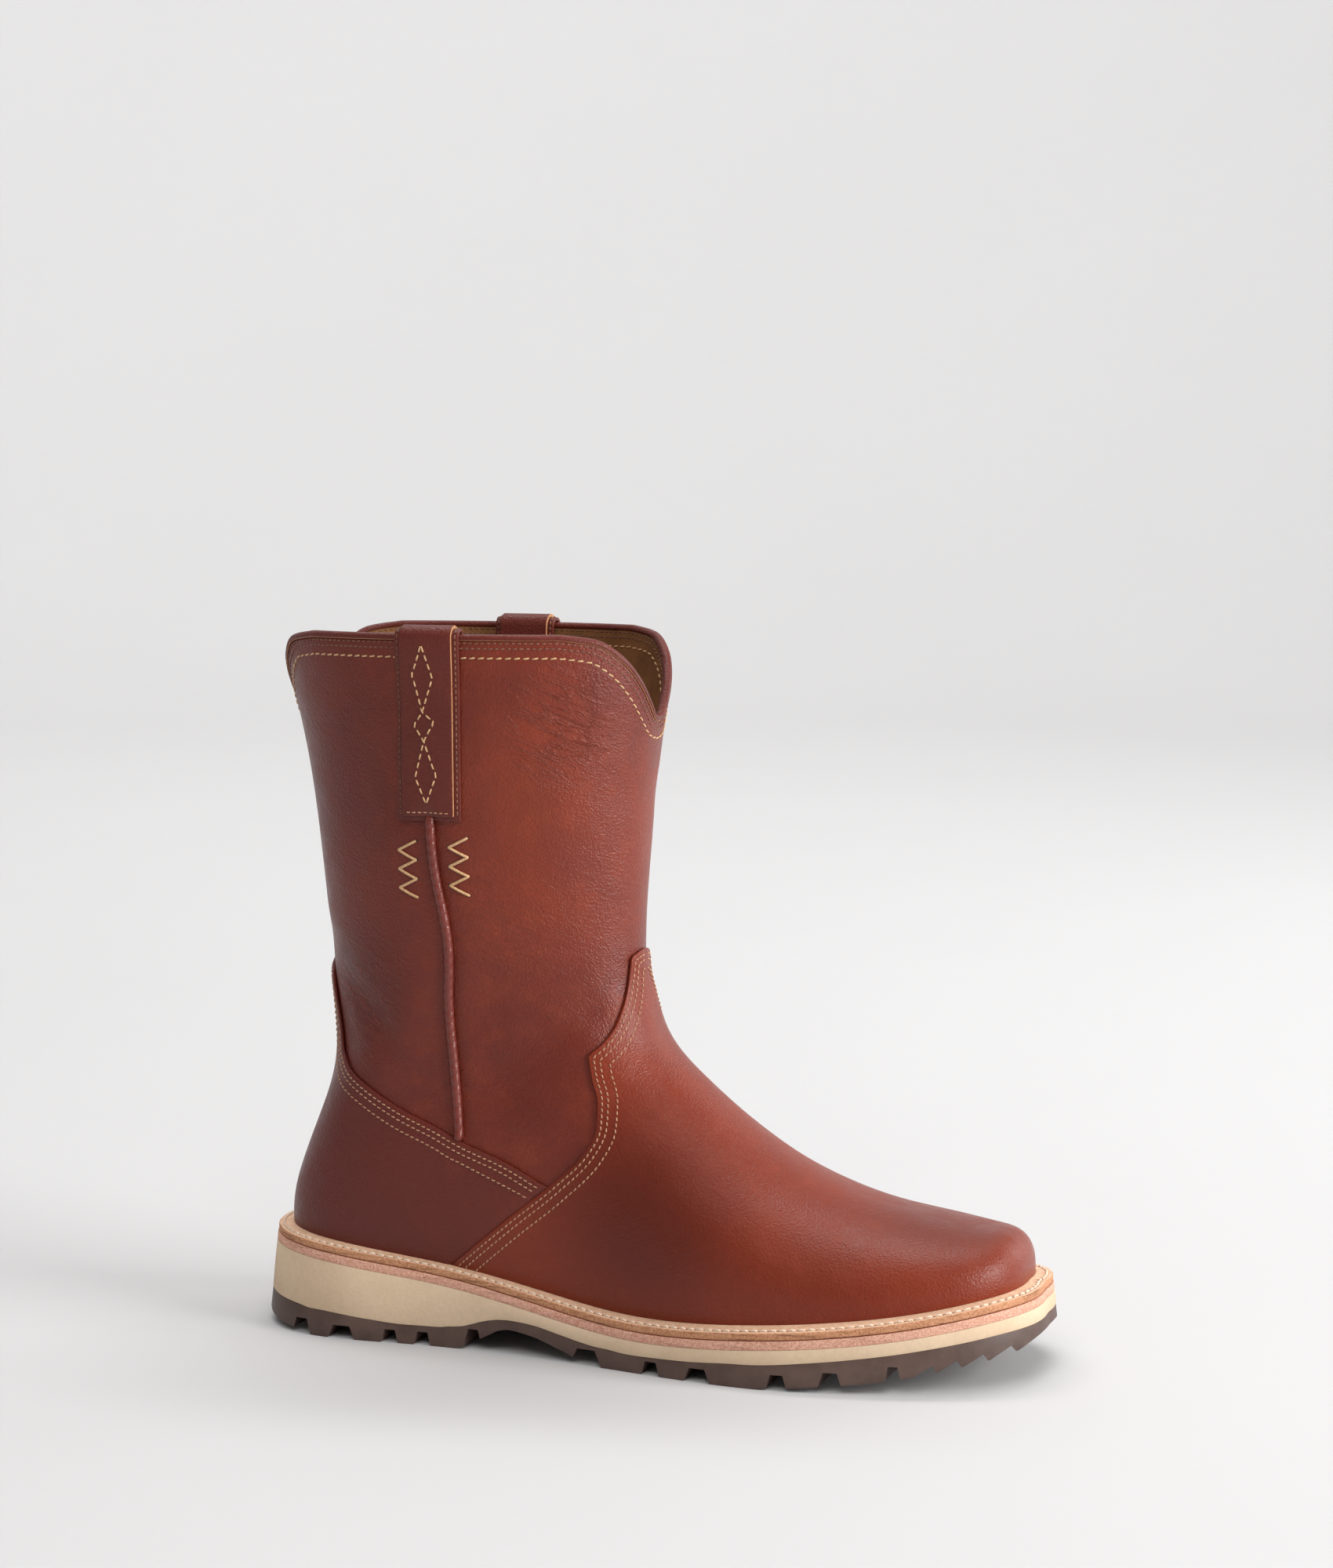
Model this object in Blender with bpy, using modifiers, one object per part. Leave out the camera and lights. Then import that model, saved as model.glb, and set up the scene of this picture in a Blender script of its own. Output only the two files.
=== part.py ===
"""Pull-on western boot for the right foot, standing empty on its lugged sole.

The frame: the origin is on the floor under the middle of the heel's tread. +X runs to the toe,
+Y to the inner side of the foot (medial; the outer side, lateral, is -Y) and +Z up. Metres.

The upper is a loft of ovals. Each oval stands on a slanting line in side view, from a front
point (on the toe, the ridge of the vamp or the shin) to a back point (under the foot or on the
back of the heel), so the ovals turn from upright at the toe to level at the collar.
"""

import math

import bmesh
import bpy
import numpy as np

# Driving sizes of the last and the leg
LAST_LENGTH = 0.296
BALL_WIDTH = 0.096
LEG_WIDTH = 0.104
HEEL_HEIGHT = 0.0352
BALL_HEIGHT = 0.0148
TOE_HEIGHT = 0.0296
INSTEP_HEIGHT = 0.110
SHAFT_HEIGHT = 0.270
HEEL_REST = 0.036
FEATHER_TUCK = 0.010

# The wall of the upper, the pieces that lie on it, and how far apart pieces stay
WALL = 0.0024
OVERLAY = 0.0012
CLEARANCE = 0.0003
OVERLAY_FOOT = 0.0006
SEAM = 0.0005

# Layers of the sole: the welt is thicker by its rise on its inner side
WELT = 0.0024
WELT_RISE = 0.0014
WELT_LEDGE = 0.008
WELT_ROOM = 0.0009
MIDSOLE_LEATHER = 0.0033
RUBBER = 0.0082
SIDE_LEAN = 0.10
INSOLE = 0.003
INSOLE_GAP = 0.0008

# Rises of the tread, and its lugs
HEEL_CURL = 0.0055
ARCH_RISE = 0.0095
TOE_SPRING = 0.0142
LUG_DEPTH = 0.004
NOTCH_WIDTH = 0.006
SLOT_WIDTH = 0.0045
CHANNEL_WIDTH = 0.004
CHANNEL_SHARE = 0.50
GROOVE_TAPER = 0.6
GROOVE_REACH = 0.003
TEETH = 5
TEETH_FROM = 0.893
TOOTH_PITCH = 0.0083
TOOTH_DEPTH = 0.0027
TOOTH_LAND = 0.0007
TOOTH_LEAN = 0.0015

# Collar, pull straps and side piping
COLLAR_DIP = 0.032
BINDING_RADIUS = 0.0018
STRAP = 0.0013
STRAP_WIDTH = 0.0255
FACING_WIDTH = 0.0205
STRAP_LIFT = 0.0004
STRAP_SWELL = 0.030
STRAP_FOOT = 0.753
STRAP_TAIL = 0.88
STRAP_ALONG = (0.2535, 0.2605)
PIPING_RADIUS = 0.0017

# How finely the pieces are faceted
FOOT_ROWS = 25
LEG_ROWS = 9
OVERLAY_LEG_ROWS = 5
SIDE_COLUMNS = 15
STRAP_ROWS = 5
STRAP_ARC = 5
STRAP_TAIL_ROWS = 3
STRAP_COLUMNS = 3
CHANNEL_STEPS = 6
PIPING_STEPS = 12
FINE_ROWS = 400
BISECTIONS = 40
FOOT_STATIONS = 24
FOOT_ENDS = (-0.06, 1.04)
WELD = 0.00005
CORNER = 40.0

# Height of the throat, where the foot turns into the leg
THROAT_HEIGHT = HEEL_HEIGHT + INSTEP_HEIGHT

# The line on which the upper stands: along is a share of the last's length, and the height
# is the ball's plus shares of what the heel and the toe stand above it
SEAT_LINE = [
    # along, heel, toe
    (-0.05, 1.065, 0.0),
    (0.00, 1.0, 0.0),
    (0.10, 0.848, 0.0),
    (0.20, 0.678, 0.0),
    (0.30, 0.490, 0.0),
    (0.40, 0.245, 0.0),
    (0.50, 0.034, 0.0),
    (0.60, 0.0, 0.027),
    (0.70, 0.0, 0.169),
    (0.80, 0.0, 0.358),
    (0.90, 0.0, 0.642),
    (1.00, 0.0, 1.0),
    (1.05, 0.0, 1.128),
]

# Ovals of the foot, whose back point is under the seat. front and back are shares of the
# last's length, top of the instep's height above the seat, and outer, inner, swing and ridge
# of the ball's width. widest is how far up the oval its widest place is, and round_top and
# round_low are the exponents of its two halves (2 is an ellipse, more is squarer)
FOOT_OVALS = [
    # front, top, back, outer, inner, widest, round_top, round_low, swing, ridge
    (0.9905, 0.012, 0.9890, 0.006, 0.006, 0.50, 2.2, 2.6, 0.045, 0.000),
    (0.9950, 0.062, 0.9830, 0.115, 0.115, 0.50, 2.2, 3.0, 0.045, 0.000),
    (0.9910, 0.136, 0.9730, 0.202, 0.202, 0.50, 2.3, 3.2, 0.044, 0.000),
    (0.9750, 0.189, 0.9550, 0.280, 0.280, 0.48, 2.4, 3.4, 0.042, 0.005),
    (0.9440, 0.220, 0.9240, 0.354, 0.362, 0.46, 2.4, 3.5, 0.038, 0.010),
    (0.8850, 0.273, 0.8700, 0.425, 0.427, 0.42, 2.3, 3.5, 0.030, 0.020),
    (0.8100, 0.337, 0.8020, 0.467, 0.462, 0.38, 2.2, 3.5, 0.015, 0.035),
    (0.7400, 0.420, 0.7360, 0.490, 0.468, 0.36, 2.1, 3.5, 0.004, 0.042),
    (0.6750, 0.523, 0.6730, 0.497, 0.454, 0.35, 2.1, 3.4, 0.000, 0.040),
    (0.6150, 0.648, 0.6120, 0.490, 0.432, 0.34, 2.1, 3.3, 0.000, 0.036),
    (0.5650, 0.768, 0.5480, 0.470, 0.412, 0.34, 2.1, 3.2, 0.000, 0.030),
    (0.5300, 0.865, 0.4650, 0.438, 0.396, 0.35, 2.1, 3.2, 0.000, 0.022),
    (0.5020, 0.991, 0.3400, 0.410, 0.389, 0.38, 2.1, 3.2, 0.000, 0.014),
    (0.4880, 1.120, 0.1900, 0.400, 0.389, 0.42, 2.1, 3.3, 0.000, 0.008),
]

# Ovals of the leg. front_up is a share of the shaft's rise above the instep, back_up of the
# whole rise above the heel's seat, and width of the leg's width
LEG_OVALS = [
    # front, front_up, back, back_up, width, widest, round_top, round_low
    (0.4850, 0.066, 0.0230, -0.0350, 0.366, 0.46, 2.1, 3.2),
    (0.4860, 0.172, 0.0080, 0.0370, 0.363, 0.49, 2.1, 2.9),
    (0.4890, 0.283, 0.0190, 0.1055, 0.368, 0.50, 2.1, 2.65),
    (0.4930, 0.404, 0.0430, 0.1850, 0.380, 0.50, 2.1, 2.45),
    (0.4975, 0.525, 0.0660, 0.2780, 0.396, 0.50, 2.1, 2.3),
    (0.5045, 0.667, 0.0630, 0.4130, 0.420, 0.50, 2.15, 2.2),
    (0.5120, 0.828, 0.0468, 0.6200, 0.450, 0.50, 2.2, 2.2),
    (0.5180, 0.975, 0.0232, 0.8310, 0.478, 0.50, 2.2, 2.2),
    (0.5210, 1.111, -0.0225, 1.0400, 0.500, 0.50, 2.2, 2.2),
]

# How far the welt stands out past the upper, as shares of WELT_LEDGE on each side of the foot
LEDGE_LINE = [
    # along, outer, inner
    (-0.05, 1.10, 1.10),
    (0.10, 0.95, 0.90),
    (0.20, 0.95, 0.90),
    (0.40, 1.10, 0.85),
    (0.55, 1.25, 0.95),
    (0.70, 1.25, 1.00),
    (0.85, 1.15, 1.00),
    (1.00, 1.10, 1.10),
]

# The tread from heel to toe, as shares of HEEL_CURL, ARCH_RISE and TOE_SPRING, and the
# rubber's thickness as a share of RUBBER
TREAD_LINE = [
    # along, curl, arch, spring, rubber
    (-0.027, 1.00, 0.0, 0.0, 0.94),
    (0.000, 0.65, 0.0, 0.0, 1.10),
    (0.054, 0.20, 0.0, 0.0, 1.20),
    (0.070, 0.0, 0.0, 0.0, 1.24),
    (0.155, 0.0, 0.0, 0.0, 1.01),
    (0.204, 0.0, 0.0, 0.0, 0.88),
    (0.251, 0.0, 0.0, 0.0, 0.89),
    (0.276, 0.0, 0.0, 0.0, 1.00),
    (0.321, 0.0, 0.62, 0.0, 0.71),
    (0.350, 0.0, 1.00, 0.0, 0.42),
    (0.385, 0.0, 0.87, 0.0, 0.50),
    (0.426, 0.0, 0.50, 0.0, 0.65),
    (0.460, 0.0, 0.15, 0.0, 0.82),
    (0.486, 0.0, 0.0, 0.0, 0.88),
    (0.527, 0.0, 0.0, 0.0, 0.77),
    (0.601, 0.0, 0.0, 0.0, 0.84),
    (0.679, 0.0, 0.0, 0.0, 1.02),
    (0.774, 0.0, 0.0, 0.148, 1.08),
    (0.858, 0.0, 0.0, 0.352, 1.12),
    (0.922, 0.0, 0.0, 0.61, 1.055),
    (0.980, 0.0, 0.0, 0.85, 1.00),
    (1.040, 0.0, 0.0, 1.13, 0.75),
]

# Side notches of the tread, with their widths as shares of NOTCH_WIDTH
NOTCH_LINE = [
    # along, width
    (0.057, 1.00),
    (0.118, 1.40),
    (0.186, 0.85),
    (0.231, 0.85),
    (0.303, 0.85),
    (0.466, 1.50),
    (0.559, 0.90),
    (0.624, 1.25),
    (0.729, 0.95),
    (0.795, 1.05),
    (0.870, 0.70),
]

# Slots between the middle lugs, and where the lengthwise channels start and stop
SLOT_LINE = (0.160, 0.245, 0.510, 0.592, 0.676, 0.762, 0.835)
CHANNEL_LINE = [
    # start, stop
    (0.035, 0.320),
    (0.450, 0.880),
]

# The collar's edge from the middle of the front or back: turn away from it, and the dip
COLLAR_LINE = [
    # turn, dip
    (0.00, 1.00),
    (0.07, 0.97),
    (0.18, 0.80),
    (0.34, 0.51),
    (0.53, 0.22),
    (0.69, 0.06),
    (0.90, 0.0),
]

# Edges of the vamp and of the heel counter in side view, from the top down: along is a share
# of the last's length, and up of the throat's height
VAMP_EDGE = [
    # along, up
    (0.500, 1.067),
    (0.489, 1.054),
    (0.479, 1.026),
    (0.477, 0.930),
    (0.473, 0.865),
    (0.463, 0.822),
    (0.445, 0.785),
    (0.452, 0.727),
    (0.462, 0.668),
    (0.464, 0.602),
    (0.453, 0.547),
    (0.412, 0.461),
    (0.352, 0.361),
    (0.270, 0.223),
    (0.255, 0.198),
]
COUNTER_EDGE = [
    # along, up
    (0.058, 0.995),
    (0.073, 0.958),
    (0.081, 0.920),
    (0.093, 0.844),
    (0.104, 0.757),
    (0.119, 0.720),
    (0.150, 0.681),
    (0.200, 0.625),
    (0.249, 0.584),
    (0.285, 0.549),
    (0.345, 0.504),
    (0.4015, 0.448),
]

# The side seam, from the top down: along is a share of the last's length, and up of the
# shaft's height
SEAM_LINE = [
    # along, up
    (0.253, 0.760),
    (0.258, 0.677),
    (0.267, 0.616),
    (0.271, 0.568),
    (0.268, 0.499),
    (0.273, 0.395),
    (0.280, 0.302),
]

# Columns of the joined table of ovals
FRONT_X, FRONT_Z, BACK_X, BACK_Z, OUTER, INNER = range(6)
WIDEST, ROUND_TOP, ROUND_LOW, SWING, RIDGE = range(6, 11)


def spline(knots, values, at):
    """Natural cubic spline through values at knots, read at the places in at."""
    knots = np.asarray(knots, float)
    values = np.asarray(values, float)
    at = np.asarray(at, float)
    gaps = np.diff(knots)
    slopes = (np.diff(values, axis=0).T / gaps).T
    count = len(knots)
    matrix = np.eye(count)
    right = np.zeros(values.shape)
    for i in range(1, count - 1):
        matrix[i, i - 1 : i + 2] = gaps[i - 1], 2 * (gaps[i - 1] + gaps[i]), gaps[i]
        right[i] = 6 * (slopes[i] - slopes[i - 1])
    bend = np.linalg.solve(matrix, right)
    i = np.clip(np.searchsorted(knots, at) - 1, 0, count - 2)
    gap = gaps[i]
    ahead = (at - knots[i]) / gap
    behind = 1 - ahead
    if values.ndim > 1:
        gap, ahead, behind = (a[..., None] for a in (gap, ahead, behind))
    straight = behind * values[i] + ahead * values[i + 1]
    curved = (behind**3 - behind) * bend[i] + (ahead**3 - ahead) * bend[i + 1]
    return straight + curved * gap**2 / 6


def along(share):
    """X of a share of the last's length from the back of the heel."""
    return share * LAST_LENGTH - HEEL_REST


def seat(x):
    """Height of the line on which the upper stands."""
    table = np.array(SEAT_LINE)
    heel = spline(along(table[:, 0]), table[:, 1], x)
    toe = spline(along(table[:, 0]), table[:, 2], x)
    return BALL_HEIGHT + (HEEL_HEIGHT - BALL_HEIGHT) * heel + (TOE_HEIGHT - BALL_HEIGHT) * toe


def ovals():
    """One row of real sizes for each oval, from the toe to above the collar."""
    rows = []
    for front, top, back, outer, inner, widest, high, low, swing, ridge in FOOT_OVALS:
        rows.append(
            (
                along(front),
                seat(along(front)) + top * INSTEP_HEIGHT,
                along(back),
                seat(along(back)) - FEATHER_TUCK * min(1.0, top / FOOT_OVALS[1][1]),
                outer * BALL_WIDTH,
                inner * BALL_WIDTH,
                widest,
                high,
                low,
                swing * BALL_WIDTH,
                ridge * BALL_WIDTH,
            )
        )
    for front, front_up, back, back_up, width, widest, high, low in LEG_OVALS:
        rows.append(
            (
                along(front),
                THROAT_HEIGHT + front_up * (SHAFT_HEIGHT - THROAT_HEIGHT),
                along(back),
                HEEL_HEIGHT + back_up * (SHAFT_HEIGHT - HEEL_HEIGHT),
                width * LEG_WIDTH,
                width * LEG_WIDTH,
                widest,
                high,
                low,
                0.0,
                0.0,
            )
        )
    return np.array(rows)


OVALS = ovals()
STEPS = np.linalg.norm(np.diff(OVALS[:, :6], axis=0), axis=1)
KNOTS = np.concatenate([[0.0], np.cumsum(STEPS)])


def surface(t, turn):
    """Points of the upper's outside. t runs from the toe to the collar, and turn from 0 at
    the front of an oval to pi at its back, positive on the inner side of the foot."""
    row = np.moveaxis(spline(KNOTS, OVALS, t), -1, 0)
    c = np.cos(turn)
    s = np.abs(np.sin(turn))
    high = c >= 0
    power = 2 / np.where(high, row[ROUND_TOP], row[ROUND_LOW])
    reach = np.where(high, 1 - row[WIDEST], row[WIDEST])
    up = row[WIDEST] + np.sign(c) * reach * np.abs(c) ** power
    half = np.where(turn > 0, row[INNER], row[OUTER]) * s**power
    x = row[BACK_X] + (row[FRONT_X] - row[BACK_X]) * up
    z = row[BACK_Z] + (row[FRONT_Z] - row[BACK_Z]) * up
    y = row[SWING] + row[RIDGE] * up**2 + np.sign(turn) * half
    return np.stack([x, y, z], -1)


def normal(t, turn):
    """Unit normals of the upper's outside, pointing away from the foot."""
    step = 1e-4
    up_leg = surface(t + step, turn) - surface(t - step, turn)
    around = surface(t, turn + step) - surface(t, turn - step)
    across = np.cross(around, up_leg)
    return across / np.linalg.norm(across, axis=-1, keepdims=True)


def bisect(test, low, high):
    """Places between low and high, worked out together, where test turns from true to false."""
    low = np.array(low, float)
    high = np.array(high, float)
    for _ in range(BISECTIONS):
        middle = (low + high) / 2
        yes = test(middle)
        low = np.where(yes, middle, low)
        high = np.where(yes, high, middle)
    return (low + high) / 2


def ends(t):
    """Front and back points of the ovals at t, in side view."""
    row = spline(KNOTS, OVALS, t)
    return row[..., [FRONT_X, FRONT_Z]], row[..., [BACK_X, BACK_Z]]


def place(x, z, side):
    """t and turn of the point of the outside that lies at x and z in side view. side is +1
    for the inner side of the foot and -1 for the outer side."""
    x, z = np.broadcast_arrays(np.asarray(x, float), np.asarray(z, float))

    def past(t):
        front, back = ends(t)
        line = front - back
        return line[..., 0] * (z - back[..., 1]) - line[..., 1] * (x - back[..., 0]) > 0

    t = bisect(past, np.zeros(x.shape), np.full(x.shape, KNOTS[-1]))
    front, back = ends(t)
    row = np.moveaxis(spline(KNOTS, OVALS, t), -1, 0)
    line = front - back
    offset = np.stack([x, z], -1) - back
    up = (offset * line).sum(-1) / (line * line).sum(-1)
    high = up >= row[WIDEST]
    power = np.where(high, row[ROUND_TOP], row[ROUND_LOW]) / 2
    reach = np.where(high, 1 - row[WIDEST], row[WIDEST])
    share = np.clip(np.abs(up - row[WIDEST]) / reach, 0, 1)
    return t, side * np.arccos(np.where(high, 1, -1) * share**power)


def on_side(x, z, side, lift):
    """Point that stands lift off the upper's outside at x and z in side view."""
    t, turn = place(x, z, side)
    return surface(t, turn) + normal(t, turn) * lift


def foot_end(height):
    """t at which the back of the ovals leaves the seat and stands height above it."""

    def under(t):
        back = ends(t)[1]
        return back[..., 1] < seat(back[..., 0]) + height

    return float(bisect(under, KNOTS[len(FOOT_OVALS) - 1], KNOTS[len(FOOT_OVALS) + 2]))


def foot_start(height):
    """t at which the front of the ovals stands height above the seat at the toe."""

    def under(t):
        front = ends(t)[0]
        return front[..., 1] < seat(front[..., 0]) + height

    return float(bisect(under, 0.0, KNOTS[2]))


def edge_turn(t, height):
    """How far round the ovals at t the upper reaches, to stand height above the seat."""

    def above(turn):
        point = surface(t, turn)
        return point[..., 2] > seat(point[..., 0]) + height

    t = np.asarray(t, float)
    return bisect(above, np.zeros(t.shape), np.full(t.shape, math.pi))


def foot_rows():
    """t of the rows of the mesh along the foot: closer together where its outline turns, at
    the toe and the heel."""
    t = np.linspace(foot_start(CLEARANCE), foot_end(CLEARANCE), FINE_ROWS)
    line = surface(t, -edge_turn(t, CLEARANCE))[:, :2]
    steps = np.diff(line, axis=0)
    lengths = np.linalg.norm(steps, axis=1)
    headings = np.unwrap(np.arctan2(steps[:, 1], steps[:, 0]))
    turning = np.abs(np.diff(headings, prepend=headings[0]))
    measure = np.cumsum(lengths / lengths.sum() + turning / turning.sum())
    measure = np.concatenate([[0.0], measure])
    even = np.linspace(0, measure[-1], FOOT_ROWS + 1)
    return np.interp(even, measure, t)


def collar_dip(turn):
    """How far the collar lies under the height of its sides: it falls to a rounded notch at
    the front and at the back."""
    table = np.array(COLLAR_LINE)
    away = np.minimum(np.abs(turn), math.pi - np.abs(turn))
    return COLLAR_DIP * np.interp(away, table[:, 0], table[:, 1])


def collar_end(turn):
    """t at which the upper ends at its collar, for each turn."""

    def under(t):
        return surface(t, turn)[..., 2] < SHAFT_HEIGHT - collar_dip(turn)

    turn = np.asarray(turn, float)
    low = np.full(turn.shape, KNOTS[len(FOOT_OVALS)])
    return bisect(under, low, np.full(turn.shape, KNOTS[-1]))


def upper_places():
    """t and turn of every point of the upper's mesh, row by row from the toe to the collar."""
    across = np.linspace(-1, 1, 2 * SIDE_COLUMNS + 1)
    foot = foot_rows()
    last = foot[-1]
    foot_turn = edge_turn(foot, CLEARANCE)
    foot_turn[-1] = math.pi
    t_foot = np.repeat(foot[:, None], len(across), axis=1)
    turn_foot = foot_turn[:, None] * across
    rise = np.linspace(0, 1, LEG_ROWS + 1)[1:, None]
    turn_leg = np.repeat(math.pi * across[None, :], LEG_ROWS, axis=0)
    t_leg = last + (collar_end(turn_leg[0]) - last) * rise
    return np.vstack([t_foot, t_leg]), np.vstack([turn_foot, turn_leg])


def section(height, spread):
    """Closed outline of the upper at a height above the seat, spread outward in plan. It runs
    from the toe along the outer side to the heel and back along the inner side."""
    t = foot_rows()
    middle = t[len(t) // 2]
    stretch = (foot_end(height) - middle) / (t[-1] - middle)
    t = np.where(t > middle, middle + (t - middle) * stretch, t)
    t[0] = foot_start(height)
    turn = edge_turn(t, height)
    outer = surface(t, -turn)[:, :2]
    inner = surface(t, turn)[:, :2]
    tip = (outer[0] + inner[0]) / 2
    heel = (outer[-1] + inner[-1]) / 2
    loop = np.vstack([tip, outer[1:-1], heel, inner[-2:0:-1]])
    ahead = np.roll(loop, -1, axis=0) - np.roll(loop, 1, axis=0)
    out = np.stack([-ahead[:, 1], ahead[:, 0]], -1) / np.linalg.norm(ahead, axis=1)[:, None]
    return loop + out * np.reshape(spread, (-1, 1))


def ledge():
    """How far the welt stands out past the foot of the upper, for each point of the outline."""
    table = np.array(LEDGE_LINE)
    x = section(CLEARANCE, 0.0)[:, 0]
    outer = np.interp(x, along(table[:, 0]), table[:, 1])
    inner = np.interp(x, along(table[:, 0]), table[:, 2])
    half = len(x) // 2
    share = np.where(np.arange(len(x)) <= half, outer, inner)
    share[0] = (outer[0] + inner[0]) / 2
    return WELT_LEDGE * share


def tread(x):
    """Height of the tread: flat under the heel and the ball, raised under the arch, at the
    back of the heel and at the toe."""
    table = np.array(TREAD_LINE)
    place_x = along(table[:, 0])
    rises = (HEEL_CURL, ARCH_RISE, TOE_SPRING)
    return sum(rise * np.interp(x, place_x, table[:, i + 1]) for i, rise in enumerate(rises))


def rubber_top(x):
    """Height of the line between the rubber outsole and the foam midsole."""
    table = np.array(TREAD_LINE)
    return tread(x) + RUBBER * np.interp(x, along(table[:, 0]), table[:, 4])


def leather_low(x):
    """Height of the line between the foam midsole and the leather midsole."""
    return seat(x) - MIDSOLE_LEATHER


def principled(name, colour, roughness, metallic=0.0):
    """Material of one sub-part."""
    material = bpy.data.materials.new(name)
    material.use_nodes = True
    shader = material.node_tree.nodes["Principled BSDF"]
    shader.inputs["Base Color"].default_value = (*colour, 1.0)
    shader.inputs["Roughness"].default_value = roughness
    shader.inputs["Metallic"].default_value = metallic
    material.diffuse_color = (*colour, 1.0)
    return material


def mesh_object(name, points, faces, collection, material=None):
    """Object of a mesh from points and faces, with doubled points welded."""
    mesh = bpy.data.meshes.new(name)
    mesh.from_pydata([tuple(map(float, point)) for point in points], [], faces)
    shape = bmesh.new()
    shape.from_mesh(mesh)
    bmesh.ops.remove_doubles(shape, verts=shape.verts, dist=WELD)
    shape.to_mesh(mesh)
    shape.free()
    thing = bpy.data.objects.new(name, mesh)
    collection.objects.link(thing)
    if material:
        mesh.materials.append(material)
    return thing


def sheet_faces(rows, columns):
    """Triangles of a grid of points, rows by columns, cut alike on both sides of its middle."""
    faces = []
    for i in range(rows - 1):
        for j in range(columns - 1):
            a = i * columns + j
            b, c, d = a + 1, a + columns + 1, a + columns
            faces += [(a, b, c), (a, c, d)] if 2 * j < columns - 1 else [(a, b, d), (b, c, d)]
    return faces


def smooth(thing):
    """Shade a curved piece smooth, apart from its corners."""
    thing.data.shade_smooth()
    thing.data.set_sharp_from_angle(angle=math.radians(CORNER))


def solidify(thing, thickness, offset):
    """Give a sheet its thickness, inward with offset -1 and outward with +1."""
    wall = thing.modifiers.new("wall", "SOLIDIFY")
    wall.thickness = thickness
    wall.offset = offset


def cut(thing, cutter, operation):
    """Cut a piece with another solid, or keep what lies inside it."""
    boolean = thing.modifiers.new(cutter.name, "BOOLEAN")
    boolean.operation = operation
    boolean.solver = "EXACT"
    boolean.object = cutter


def cutter_object(name, points, faces, collection):
    """Solid that only cuts others, with its faces turned outward."""
    thing = mesh_object(name, points, faces, collection)
    shape = bmesh.new()
    shape.from_mesh(thing.data)
    bmesh.ops.recalc_face_normals(shape, faces=shape.faces)
    shape.to_mesh(thing.data)
    shape.free()
    thing.hide_render = True
    thing.display_type = "WIRE"
    return thing


def sweeps(solids):
    """Points and faces of closed solids, each a run of equal rings of 3-D points."""
    points = []
    faces = []
    for rings in solids:
        count = len(rings[0])
        start = len(points)
        for ring in rings:
            points += list(ring)
        last = start + (len(rings) - 1) * count
        faces.append(tuple(start + i for i in reversed(range(count))))
        faces.append(tuple(last + i for i in range(count)))
        for k in range(start, last, count):
            for i in range(count):
                after = (i + 1) % count
                faces.append((k + i, k + after, k + count + after, k + count + i))
    return points, faces


def upper_skin(name, lift, rows, collection, material):
    """Sheet that follows the upper's outside at a distance, over its first rows."""
    t, turn = upper_places()
    points = surface(t, turn)
    if lift:
        out = normal(np.maximum(t, t[1, 0]), turn)
        points = points + out * lift
    points[0] = points[0].mean(axis=0)
    points = points[: rows + 1]
    faces = sheet_faces(points.shape[0], points.shape[1])
    return mesh_object(name, points.reshape(-1, 3), faces, collection, material)


def make_upper(collection):
    """The upper: one hollow wall, open at the collar and underneath."""
    leather = principled("chestnut_leather", (0.175, 0.034, 0.016), 0.38)
    upper = upper_skin("upper", 0.0, FOOT_ROWS + LEG_ROWS, collection, leather)
    solidify(upper, WALL, -1)
    smooth(upper)


def in_side_view(line):
    """X and Z of a line given in shares of the last's length and the throat's height."""
    return [(along(a), u * THROAT_HEIGHT) for a, u in line]


def overlay_foot(start, stop):
    """X and Z of the lower edge of the pieces that lie on the upper, just above the seat."""
    stations = np.linspace(along(start), along(stop), FOOT_STATIONS)
    return [(x, seat(x) + OVERLAY_FOOT) for x in stations]


def side_prism(name, outline, collection):
    """Cutter through the whole boot from an outline of X and Z in side view."""
    half = LEG_WIDTH
    near = [(x, -half, z) for x, z in outline]
    far = [(x, half, z) for x, z in outline]
    points, faces = sweeps([(near, far)])
    return cutter_object(name, points, faces, collection)


def make_overlays(collection, cutters):
    """Vamp and heel counter: two pieces of one larger shell that lies on the upper, each cut
    out by its outline in side view. A seam's width parts them."""
    leather = principled("vamp_leather", (0.190, 0.038, 0.017), 0.36)
    counter_leather = principled("counter_leather", (0.150, 0.030, 0.016), 0.38)
    edge = in_side_view(VAMP_EDGE)
    meeting = VAMP_EDGE[-1][0]
    seam = [(x - SEAM, z) for x, z in edge if z < COUNTER_EDGE[-1][1] * THROAT_HEIGHT]
    front = [*edge, *overlay_foot(meeting, FOOT_ENDS[1]), (along(FOOT_ENDS[1]), edge[0][1])]
    foot = [(x - SEAM, z) for x, z in overlay_foot(meeting, FOOT_ENDS[0])]
    rear = [*in_side_view(COUNTER_EDGE), *seam, *foot, (foot[-1][0], in_side_view(COUNTER_EDGE)[0][1])]
    rows = FOOT_ROWS + OVERLAY_LEG_ROWS
    for name, line, material in (
        ("vamp", front, leather),
        ("heel_counter", rear, counter_leather),
    ):
        piece = upper_skin(name, CLEARANCE, rows, collection, material)
        solidify(piece, OVERLAY, 1)
        cut(piece, side_prism(name + "_outline", line, cutters), "INTERSECT")
        smooth(piece)


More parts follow.
